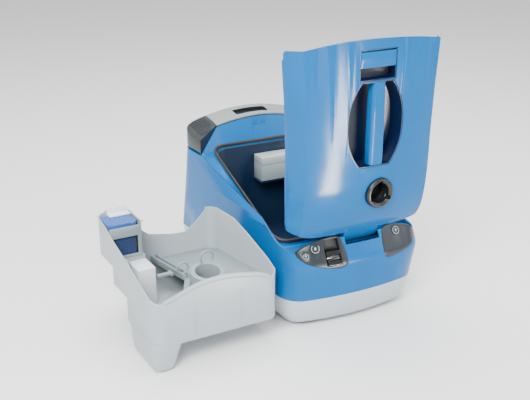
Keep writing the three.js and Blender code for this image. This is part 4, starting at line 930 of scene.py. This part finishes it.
class CLEANER_OT_housing(bpy.types.Operator):
    """Blue housing with its ledges, deck face, panel seats and wells."""
    bl_idname = "cleaner.housing"
    bl_label = "Housing"

    def execute(self, context):
        shell = keep(housing_block(0, SEAM_Z + GAP), under_top(0, 0))
        hollow = keep(housing_block(WALL, SEAM_Z - 5), under_top(WALL, 5))
        cut(shell, hollow)
        ring = [(x, y) for x, y, _ in opening_ring(GASKET_WIDTH, 0)]
        collar = keep(prism(ring, 60, 330), under(lambda x, y: rim_height(y), (-170, 170), (-200, 200), 50))
        cut(collar, under(lambda x, y: rim_height(y) - 24, (-171, 171), (-201, 201), 30))
        join(shell, collar)
        cut(shell, prism([(x, y) for x, y, _ in opening_ring(0, 0)], 40, 330))
        front_skin = cut(loft([housing_ring(z, -2) for z in steps(SEAM_Z + 8, SHELF_Z, 16)]),
                         loft([housing_ring(z, WALL + GAP) for z in steps(SEAM_Z, SHELF_Z + 5, 16)]))
        for side in (-1, 1):
            pocket = keep(twin(front_skin), prism(panel_outline(side, GAP), -300, -150, "y"))
            cut(shell, pocket)
        bpy.data.objects.remove(front_skin)
        for x, z, radius, _ in BUTTONS.values():
            cut(shell, stub(x, z, radius + 1, 5, 13))
        cut(shell,
            box(SLIDER_X - WELL_HALF - 3, SLIDER_X + WELL_HALF + 3, -250, -195, WELL_FOOT - 3, WELL_HEAD + 3),
            box(-SADDLE_HALF, SADDLE_HALF, SADDLE_FRONT_Y, SADDLE_REAR_Y, SADDLE_FLOOR_Z - 4, 220),
            box(-TAB_NOTCH_HALF, TAB_NOTCH_HALF, -300, HINGE_Y, TAB_NOTCH_Z, 220),
            rod("y", 104, REAR_Y - 20, 92, 9 + GAP, 30))
        soften(shell, sizes().edge)
        cut(shell, box(-14, -5, 150, 182, 276, 280), box(5, 14, 150, 182, 276, 280))
        settle(shell, "housing", on_machine, "housing blue", "chassis", ["body_shell"])
        for side, name in ((-1, "left"), (1, "right")):
            line = []
            for y in steps(LEDGE_FRONT_Y - 12, 138, 60):
                x = side * (housing_half(y) - 2.4)
                line.append((x, y, ledge_height(x, y)))
            seam = tube(line, 0.55)
            settle(seam, "ledge_line_" + name, on_machine, "navy", "chassis")
        return {"FINISHED"}


class CLEANER_OT_panels(bpy.types.Operator):
    """Dark control panels with their keys and marks."""
    bl_idname = "cleaner.panels"
    bl_label = "Control panels"

    def execute(self, context):
        for side, name in ((-1, "control_panel_left"), (1, "control_panel_right")):
            skin = cut(loft([housing_ring(z, 0) for z in steps(SEAM_Z + 8, SHELF_Z, 30)]),
                       loft([housing_ring(z, WALL) for z in steps(SEAM_Z, SHELF_Z + 5, 30)]))
            panel = keep(skin, prism(panel_outline(side), -300, -150, "y"))
            for x, z, radius, _ in BUTTONS.values():
                if math.copysign(1, x) == side:
                    cut(panel, stub(x, z, radius + GAP, 20, 20))
            if side < 0:
                cut(panel, box(SLIDER_X - WELL_HALF, SLIDER_X + WELL_HALF, -300, -150, WELL_FOOT, WELL_HEAD))
            soften(panel, 0.5)
            settle(panel, name + "_face", on_machine, "panel anthracite", "chassis", [name])
        for name, (x, z, radius, body) in BUTTONS.items():
            key = stub(x, z, radius, 1.4, 8, 64)
            soften(key, 0.6, segments=3)
            settle(key, name + "_cap", on_machine, "panel anthracite", body, [name])
            self.mark(name, x, z, radius, body)
        return {"FINISHED"}

    def mark(self, name, x, z, radius, body):
        """A plain printed ring or drop on a key, as a raised skin a tenth of a millimetre thick."""
        normal = front_normal(x, z)
        turn = facing(normal)
        centre = Vector((x, front_surface(x, z), z)) + normal * 1.45
        opening = 0.25 if name != "rewind_button" else 0.0
        outer, inner = radius * 0.9, radius * 0.84
        arc = steps(math.pi / 2 + opening * math.pi, math.pi / 2 + (2 - opening) * math.pi, 40)
        rings = []
        for a in arc[:-1] if opening == 0 else arc:
            spot = []
            for r, h in ((outer, 0), (outer, MARK_DEPTH), (inner, MARK_DEPTH), (inner, 0)):
                spot.append(tuple(centre + turn @ Vector((r * math.cos(a), r * math.sin(a), h))))
            rings.append(spot)
        ring = loft(rings, capped=opening > 0)
        settle(ring, name + "_ring", on_machine, "mark white", body)
        drop = []
        for k in range(24):
            a = k * math.tau / 24
            point = radius * 0.12 * max(0, math.sin(a)) ** 4
            drop.append((radius * 0.24 * math.cos(a), radius * 0.3 * math.sin(a) + point))
        outline = [[tuple(centre + turn @ Vector((u, v, h))) for u, v in drop] for h in (0, MARK_DEPTH)]
        settle(loft(outline), name + "_dot", on_machine, "mark grey", body)


class CLEANER_OT_slider(bpy.types.Operator):
    """Glossy suction slider in its smooth dark well."""
    bl_idname = "cleaner.slider"
    bl_label = "Suction slider"

    def execute(self, context):
        rows = steps(SEAM_Z + 8, SHELF_Z, 40)
        block = cut(loft([housing_ring(z, -1.5) for z in rows]), loft([housing_ring(z, 8) for z in rows]))
        knob = keep(block, box(SLIDER_X - SLIDER_HALF, SLIDER_X + SLIDER_HALF, -300, -150, SLIDER_FOOT,
                               SLIDER_FOOT + SLIDER_HEIGHT))
        middle = SLIDER_FOOT + 13
        cut(knob, rod("x", SLIDER_X - SLIDER_HALF - 1, front_surface(SLIDER_X, middle) - 5.5, middle, 6,
                      2 * SLIDER_HALF + 2))
        soften(knob, 1.0, segments=3)
        settle(knob, "slider_knob", on_machine, "gloss black", "slider", ["suction_slider"])
        return {"FINISHED"}


class CLEANER_OT_hood(bpy.types.Operator):
    """Swung-up hood with its grip recess, port and latch openings."""
    bl_idname = "cleaner.hood"
    bl_label = "Hood"

    def execute(self, context):
        hood = hood_grid()
        profile = [(-8, 15), (-8, 19), (0, 22), (13, 27.5), (16, 26), (8, 19), (6, 6), (-4, 4), (-3, 16)]
        tab = prism(profile, -35, 35, "x")
        join(tab, rod("x", -38, 0, 0, 6.5, 76))
        join(hood, tab)
        cut(hood, rod("x", -70, 0, 0, 3.3, 140),
            prism(grip_outline(), 5, 90),
            rod("z", PORT_X, PORT_CENTRE, 5, PORT_OUTER + GAP, 90, 72),
            box(-LATCH_HALF, LATCH_HALF, LATCH_FOOT, LATCH_HEAD, 25, 90))
        soften(hood, sizes().edge)
        settle(hood, "hood_cover", on_hood, "hood blue", "hood", ["hood_shell"])
        self.scoop()
        self.bar()
        self.port()
        return {"FINISHED"}

    def scoop(self):
        floor = HOOD_CROWN - GRIP_DEPTH
        bowl = keep(prism(grip_outline(4), floor - 2, 80), under_hood(HOOD_WALL + GAP + 0.3))
        keep(bowl, box(-90, 90, 90, LATCH_FOOT, 0, 90))
        neck = keep(prism(grip_outline(-GAP), floor, 80), under_hood(0.8, floor - 1))
        join(bowl, neck)
        cut(bowl, prism(grip_outline(-2.2), floor, 90))
        soften(bowl, 0.5)
        settle(bowl, "grip_recess", on_hood, "navy", "hood", ["grip_scoop"])

    def bar(self):
        reach = GRIP_LENGTH / 2 - 2.2 - GAP
        rings = []
        for t in steps(-1, 1, 30):
            l = GRIP_CENTRE + t * reach
            half = 13.6 - 0.9 * t - 0.5 * t * t
            top = hood_height(0, l) - 1.2
            section = rounded_rectangle(BAR_X - half, BAR_X + half, 36, top, 5.5)
            rings.append([(x, l, h) for x, h in section])
        bar = loft(rings)
        soften(bar, 0.4)
        settle(bar, "grip_handle", on_hood, "hood blue", "hood", ["grip_bar"])

    def port(self):
        bore, outer, head = PORT_BORE, PORT_OUTER, PORT_HEAD
        profile = [(bore, 38), (outer - 3, 38), (outer - 3, 48), (outer, 48), (outer, head - 5),
                   (outer - 0.6, head - 2.6), (outer - 2.4, head - 0.8), (outer - 4.6, head), (bore + 4.4, head),
                   (bore + 2.6, head - 2.2), (bore + 0.8, head - 3), (bore, head - 4)]
        ring = turned(profile, PORT_X, PORT_CENTRE, 96)
        for k in range(3):
            angle = math.radians(90 + 120 * k)
            spot = (PORT_X + (bore + 1) * math.cos(angle), PORT_CENTRE + (bore + 1) * math.sin(angle))
            cut(ring, rod("z", *spot, head - 12, 4, 20, 32))
        soften(ring, 0.35)
        settle(ring, "hose_port_ring", on_hood, "satin black", "hood", ["hose_port"])


def tank_leg(x0, x1, y0, y1, inset, flare_x):
    rows = ((0, 9, 11, 11), (2, 6, 7.5, 12), (5, 4, 5, 14), (12, 2.2, 3, 16), (22, 1, 2, 17), (31, 0.7, 1.1, 18),
            (40, 0.5, 0.5, 19), (48, 0.2, 0.2, 20), (56, 0, 0, 20))
    rings = []
    for z, side, ends, radius in rows:
        flare = flare_x * (z / 56) ** 2
        height = inset if z == 0 else max(z, inset + 0.2 * z)
        outline = rounded_rectangle(x0 + side + inset, x1 - side - inset + flare, y0 + ends + inset,
                                    y1 - ends - inset, max(3, min(radius, 15) - inset))
        rings.append([(x, y, height) for x, y in outline])
    return loft(rings)


def tank_form(inset):
    i = inset
    half = TANK_HALF - i
    form = prism(rounded_rectangle(-half, half, i, TANK_LENGTH - i, 20 - i, 10), TANK_FLOOR_Z + i, 215 + i)
    cut(form, box(-140, STEP_X + i, LEG_LENGTH - i, 300, 0, TOWER_FLOOR_Z + i),
        box(-140, STEP_X + i, 178 - i, 300, 0, TOWER_FLOOR + i),
        box(-140, -TANK_HALF + TOWER_WIDTH + i, TOWER_Y - i, 300, 0, TOWER_FLOOR + i))
    join(form, tank_leg(-TANK_HALF, -TANK_HALF + LEG_WIDTH, 0, LEG_LENGTH, i, 14))
    return join(form, tank_leg(60, 116, 148, 252, i, 0))


def tank_rim(x, y):
    if x < -100:
        return along([(0, 127), (18, 138), (63, 150), (109, 164), (162, 176), (211, 191), (257, 201)], y)
    if x > 100:
        return along([(0, 130), (40, 147), (109, 165), (167, 177), (257, 172)], y)
    if y < 128:
        return eased([(-100, 131), (-79, 138), (-34, 153), (0, 156), (30, 154), (82, 144), (100, 133)], x)
    return along([(-100, 204), (-62, 206), (-52, 172), (-40, 168), (-30, 150), (-17, 140), (28, 131), (57, 130),
                  (79, 145), (100, 166)], x)


class CLEANER_OT_tank(bpy.types.Operator):
    """Lifted-out water tank."""
    bl_idname = "cleaner.tank"
    bl_label = "Water tank"

    def execute(self, context):
        shell = cut(tank_form(0), tank_form(TANK_WALL))
        xs = [-130, -101] + steps(-99, 99, 66) + [101, 130]
        ys = steps(-10, 126, 24) + [127, 129] + steps(131, 270, 24)
        keep(shell, under(tank_rim, xs, ys, -5))
        soften(shell, sizes().edge)
        settle(shell, "tank_body", on_tank, "tank grey", "tank", ["tank_shell"])
        side = [(-TANK_HALF + 1.2, y, tank_rim(-TANK_HALF, y)) for y in steps(14, 246, 60)]
        front = [(x, 1.2, tank_rim(x, 0)) for x in steps(-97, 98, 50)]
        right = [(TANK_HALF - 1.2, y, tank_rim(TANK_HALF, y)) for y in steps(14, 240, 50)]
        for name, line in (("left", side), ("front", front), ("right", right)):
            settle(tube(line, sizes().bead), "rim_bead_" + name, on_tank, "tank grey", "tank")
        # A thin darker bead just under the front lip: painted shade where the lip overhangs the wall.
        lip_shade_line = [(x, -0.15, tank_rim(x, 0) - 6) for x in steps(-96, 97, 50)]
        settle(tube(lip_shade_line, 0.45), "lip_shade_line_front", on_tank, "lip shade grey", "tank")
        for k, x in enumerate((-42, -38, 42, 46)):
            rib = tube([(x, -0.1, z) for z in steps(62, 122, 12)], 0.5)
            settle(rib, f"wall_rib_{k}", on_tank, "tank grey", "tank")
        return {"FINISHED"}


CASTORS = {"front_left": (-84, -158), "front_right": (84, -158),
           "rear_left": (-112, 196), "rear_right": (112, 196)}


class CLEANER_OT_base(bpy.types.Operator):
    """Pale base with its castor wells."""
    bl_idname = "cleaner.base"
    bl_label = "Base"

    def execute(self, context):
        def ring(z, inset):
            return [(x, y, z) for x, y, _ in housing_ring(SEAM_Z, inset)]

        outer = ((8, 22), (8.6, 19), (10.5, 16), (13, 14), (18, 11), (24, 8), (30, 6), (44, 2.6), (SEAM_Z, 0))
        inner = ((SEAM_Z, WALL), (30, 6 + WALL), (15, 15 + WALL), (11, 25))
        pan = loft([ring(z, inset) for z, inset in outer + inner])
        for x, y in CASTORS.values():
            join(pan, rod("z", x, y, 8, 23, 26))
        for x, y in CASTORS.values():
            cut(pan, rod("z", x, y, -1, 21, 33), rod("z", x, y, 31, 4.35, 12))
        soften(pan, 0.6)
        settle(pan, "base_shell", on_machine, "base grey", "chassis", ["base_pan"])
        return {"FINISHED"}


class CLEANER_OT_gasket(bpy.types.Operator):
    """Black seal round the opening."""
    bl_idname = "cleaner.gasket"
    bl_label = "Seal"

    def execute(self, context):
        w = GASKET_WIDTH
        section = [(w - 0.5, GAP), (w - 0.4, 2.6)]
        section += [(w / 2 + (w / 2 - 0.5) * math.cos(a), 3.4 + 2.6 * math.sin(a))
                    for a in steps(0, math.pi, 10)]
        section += [(0.4, 2.6), (0.5, GAP)]
        rings = [[(x, y, z + rise) for x, y, z in opening_ring(grow)] for grow, rise in section]
        seal = loft(rings, capped=False)
        settle(seal, "opening_seal", on_machine, "seal rubber", "chassis", ["opening_gasket"])
        return {"FINISHED"}


class CLEANER_OT_rear(bpy.types.Operator):
    """Grey rear cap with its slot, and the ribbed corner grilles."""
    bl_idname = "cleaner.rear"
    bl_label = "Rear cap and grilles"

    def cover(self, inset):
        ring = plan_ring(plan_at(SHELF_Z + 8), inset)
        dome = under(lambda x, y: rear_height(x, y) - inset, steps(-170, 170, 68), steps(120, 260, 36), 200)
        return keep(prism(ring, SHELF_Z + GAP, 330), dome)

    def execute(self, context):
        c = CORNER_Y
        plan = [(-c - 20, c + 1), (-c + 1, c + 1), (-RIDGE_HALF, RIDGE_Y + 2), (RIDGE_HALF, RIDGE_Y + 2),
                (c - 1, c + 1), (c + 20, c + 1), (c + 20, REAR_Y + 20), (-c - 20, REAR_Y + 20)]
        moulding = keep(self.cover(0), prism(plan, 200, 340))
        hollow = self.cover(WALL)
        hollow.data.transform(Matrix.Translation((0, 0, -GAP)))
        cut(moulding, hollow, box(-200, 200, 100, REAR_Y - WALL - 1, 200, SHELF_Z + 6))
        half = RIDGE_HALF - GAP
        cap = keep(twin(moulding), box(-half, half, 100, 300, 200, 340))
        floor = rear_top(0) - 9
        tray = keep(box(-44, 36, 200, 232, floor - 2, 303), self.cover(1))
        join(cap, tray)
        cut(cap, prism(rounded_rectangle(-42, 34, 202, 230, 3), floor, 340))
        soften(cap, 0.8, segments=3)
        settle(cap, "rear_cover", on_machine, "cap grey", "chassis", ["rear_cap"])
        # A satin black sheet inside the slot: painted shade standing in for the dark depth of the slot.
        slot_shade = keep(prism(rounded_rectangle(-41.9, 33.9, 202.1, 229.9, 3), floor + 0.05, 303),
                      self.cover(1.4))
        cut(slot_shade, prism(rounded_rectangle(-41, 33, 203, 229, 2.4), floor + 0.6, 340))
        settle(slot_shade, "slot_painted_shade", on_machine, "satin black", "chassis")
        line = [(x, RIDGE_Y + 1.2, ridge_height(x) + 0.5) for x in steps(-half, half, 60)]
        settle(tube(line, 1.3), "cap_shadow_line", on_machine, "satin black", "chassis")
        for side, name in ((-1, "corner_grille_left"), (1, "corner_grille_right")):
            x0, x1 = (half + 2 * GAP, 200) if side > 0 else (-200, -half - 2 * GAP)
            grille = keep(twin(moulding), box(x0, x1, 100, 300, 200, 340))
            for k in range(11):
                y = 171 + k * 6.4
                inner = RIDGE_HALF + 8 + max(0, 14 - k * 3)
                low, high = sorted((side * inner, side * 138))
                cut(grille, box(low, high, y, y + 2.4, 262, 340))
            soften(grille, 0.4)
            settle(grille, name + "_cover", on_machine, "anthracite", "chassis", [name])
            strip = [(c - 1.5, c + 1.4), (half + 1.2, RIDGE_Y + 2.2), (half + 1.2, RIDGE_Y + 4.2),
                     (c - 1.5, c + 3.4)]
            wall = keep(prism([(side * x, y) for x, y in strip], SHELF_Z + 0.6, 330), self.cover(0.7))
            settle(wall, name + "_front", on_machine, "anthracite", "chassis")
        bpy.data.objects.remove(moulding)
        return {"FINISHED"}


# Every other piece keeps its CAD shape: name, finish, edge rounding in millimetres
DRESSED = (
    ("slider_well", "satin black", 0.4), ("hinge_saddle", "housing blue", 0.6), ("hinge_pin", "steel", 0.3),
    # The inner tub's dark navy is partly painted shade for the deep bay.
    ("inner_tub", "bay navy and painted shade", 1.2), ("motor_housing", "satin black", 1.0),
    ("motor_mount", "soft rubber", 1.0),
    ("motor_core", "steel", 0.5), ("turbine_rotor", "cast aluminium", 0.2),
    ("suction_duct", "satin black", 1.0),
    ("cord_reel", "satin black", 0.6), ("reel_post", "steel", 0.5), ("spray_pump", "satin black", 0.8),
    ("solution_tank", "white plastic", 1.0), ("control_board", "board", 0.2),
    ("cable_gland", "soft rubber", 0.6),
    ("filter_cassette", "insert grey", 0.5), ("filter_pleats", "pleat paper", 0.0),
    ("filter_cover", "tank grey", 0.8),
    ("hood_liner", "navy", 0.8), ("inlet_duct", "satin black", 0.4), ("latch_pocket", "navy", 0.4),
    ("latch_flap", "hood blue", 0.5), ("latch_pin", "steel", 0.2), ("splash_plate", "insert grey", 0.4),
    ("inlet_collar", "insert grey", 0.6), ("separator_lever", "insert grey", 0.5),
    ("jet_box", "white plastic", 0.8),
    ("foam_frame", "insert grey", 0.5), ("foam_bracket", "white plastic", 0.4), ("wire_bail", "steel", 0.0),
    *((f"castor_fork_{place}", "anthracite", 0.4) for place in CASTORS),
    *((f"castor_wheel_{place}", "satin black", 1.0) for place in CASTORS),
)


class CLEANER_OT_fittings(bpy.types.Operator):
    """Fittings that keep their CAD shape, with moulded edges and their own finish."""
    bl_idname = "cleaner.fittings"
    bl_label = "Fittings"

    def execute(self, context):
        for name, finish, edge in DRESSED:
            source = NODES[name]
            copy = bpy.data.objects.new(name + "_part", source.data.copy())
            context.scene.collection.objects.link(copy)
            bm = bmesh.new()
            bm.from_mesh(copy.data)
            bmesh.ops.remove_doubles(bm, verts=bm.verts, dist=1e-6)
            bmesh.ops.dissolve_limit(bm, angle_limit=math.radians(0.5), verts=bm.verts, edges=bm.edges)
            bm.to_mesh(copy.data)
            bm.free()
            if edge:
                bevel = copy.modifiers.new("soft edges", "BEVEL")
                bevel.limit_method = "ANGLE"
                bevel.angle_limit = math.radians(35)
                bevel.width = edge / 1000
                bevel.segments = 2
                apply_modifiers(copy)
            shade(copy, 35)
            hand_over(copy, name + "_part", finish, BODY_OF[name], [name])
        return {"FINISHED"}


FOAM_BLOCKS = (("foam_lower", "dark foam", 130.95, 171), ("foam_upper", "bright foam", 172, 196))


class CLEANER_OT_foam(bpy.types.Operator):
    """Two blocks of open-cell foam, a little uneven."""
    bl_idname = "cleaner.foam"
    bl_label = "Foam blocks"

    def execute(self, context):
        for name, finish, low, high in FOAM_BLOCKS:
            outline = rounded_rectangle(-114, -58.5, 197.5, 250, 12, 10)
            block = prism(outline, low, high)
            soften(block, 1.6, segments=3)
            remesh = block.modifiers.new("even grid", "REMESH")
            remesh.mode = "VOXEL"
            remesh.voxel_size = 1.0
            lumps = bpy.data.textures.new(name, "CLOUDS")
            lumps.noise_scale = 1.6
            lumps.noise_depth = 2
            rough = block.modifiers.new("rough skin", "DISPLACE")
            rough.texture = lumps
            rough.texture_coords = "LOCAL"
            rough.strength = 0.9
            rough.mid_level = 0.9
            apply_modifiers(block)
            settle(block, name + "_block", on_tank, finish, BODY_OF[name], [name], angle=180)
        return {"FINISHED"}


# ------------------------------------------------------------------ stage


CAMERA_AZIMUTH = -27.5
CAMERA_PITCH = 20.9
CAMERA_DISTANCE = 1692.9
CAMERA_LENS = 59.1
CAMERA_TARGET = (-80, 0, 180)

# Strip lights on the floor that only glossy faces show: name, place, width, length, turn, watts
HOOD_STRIPS = (("near strip", (120, -955, 4), 110, 555, 16.9, 24),
               ("far strip", (535, -1685, 4), 190, 1146, 35.8, 84))
FLOOR_HALF = 9000


class CLEANER_OT_stage(bpy.types.Operator):
    """Pale floor, soft lights and the camera."""
    bl_idname = "cleaner.stage"
    bl_label = "Stage"

    def execute(self, context):
        scene = context.scene
        corners = [(x * FLOOR_HALF, y * FLOOR_HALF, 0) for x, y in ((-1, -1), (1, -1), (1, 1), (-1, 1))]
        floor = solid(corners, [(0, 1, 2, 3)])
        floor.data.transform(Matrix.Scale(0.001, 4))
        floor.data.transform(Matrix.Translation((0, 0, -0.0002)))
        floor.name = "floor"
        material = bpy.data.materials.new("pale floor")
        material.use_nodes = True
        shader = material.node_tree.nodes["Principled BSDF"]
        shader.inputs["Base Color"].default_value = (0.93, 0.93, 0.93, 1)
        shader.inputs["Roughness"].default_value = 0.7
        floor.data.materials.append(material)
        world = bpy.data.worlds.new("pale room")
        world.use_nodes = True
        world.node_tree.nodes["Background"].inputs["Color"].default_value = (1, 1, 1, 1)
        world.node_tree.nodes["Background"].inputs["Strength"].default_value = 0.85
        scene.world = world
        self.light("key", (-1500, -1600, 2000), 1100, 120, (0, 0, 200))
        self.light("fill", (1700, -1300, 1400), 1600, 26, (0, 0, 200))
        self.light("top", (0, 300, 2400), 1800, 70, (0, 0, 200))
        for name, spot, width, length, turn, watts in HOOD_STRIPS:
            strip = self.light(name, spot, width, watts, (spot[0], spot[1], 2000))
            strip.data.shape = "RECTANGLE"
            strip.data.size_y = length / 1000
            strip.rotation_mode = "XYZ"
            strip.rotation_euler = (math.pi, 0, math.radians(turn))
            strip.visible_camera = False
            strip.visible_diffuse = False
        camera = bpy.data.objects.new("camera", bpy.data.cameras.new("camera"))
        scene.collection.objects.link(camera)
        scene.camera = camera
        a, e = math.radians(CAMERA_AZIMUTH), math.radians(CAMERA_PITCH)
        back = Vector((math.sin(a) * math.cos(e), -math.cos(a) * math.cos(e), math.sin(e)))
        target = Vector(CAMERA_TARGET)
        camera.location = on_machine(target + back * CAMERA_DISTANCE)
        camera.rotation_mode = "QUATERNION"
        camera.rotation_quaternion = (-back).to_track_quat("-Z", "Y")
        camera.data.lens = CAMERA_LENS
        camera.data.clip_end = 50
        return {"FINISHED"}

    def light(self, name, spot, size, watts, target):
        data = bpy.data.lights.new(name, "AREA")
        data.size = size / 1000
        data.energy = watts
        lamp = bpy.data.objects.new(name, data)
        bpy.context.scene.collection.objects.link(lamp)
        lamp.location = on_machine(spot)
        aim = on_machine(target) - lamp.location
        lamp.rotation_mode = "QUATERNION"
        lamp.rotation_quaternion = aim.to_track_quat("-Z", "Y")
        return lamp


# ------------------------------------------------------------------ panel and registration


STEPS = (CLEANER_OT_stage, CLEANER_OT_base, CLEANER_OT_housing, CLEANER_OT_panels, CLEANER_OT_slider,
         CLEANER_OT_gasket, CLEANER_OT_rear, CLEANER_OT_hood, CLEANER_OT_tank, CLEANER_OT_foam,
         CLEANER_OT_fittings)


class CLEANER_PT_panel(bpy.types.Panel):
    """Lists the pieces in the sidebar."""
    bl_idname = "CLEANER_PT_panel"
    bl_label = "Canister cleaner"
    bl_space_type = "VIEW_3D"
    bl_region_type = "UI"
    bl_category = "Cleaner"

    def draw(self, context):
        scene = context.scene
        for owner in (scene.cleaner_look, scene.cleaner_sizes):
            for name in owner.__annotations__:
                self.layout.prop(owner, name)
        for step in STEPS:
            self.layout.operator(step.bl_idname)


CLASSES = (CleanerLook, CleanerSizes, *STEPS, CLEANER_PT_panel)


def register():
    for cls in CLASSES:
        bpy.utils.register_class(cls)
    bpy.types.Scene.cleaner_look = bpy.props.PointerProperty(type=CleanerLook)
    bpy.types.Scene.cleaner_sizes = bpy.props.PointerProperty(type=CleanerSizes)


def unregister():
    del bpy.types.Scene.cleaner_look
    del bpy.types.Scene.cleaner_sizes
    for cls in reversed(CLASSES):
        bpy.utils.unregister_class(cls)


def main():
    register()
    make_finishes(look())
    for step in STEPS:
        area, name = step.bl_idname.split(".")
        getattr(getattr(bpy.ops, area), name)()


if __name__ == "__main__":
    main()
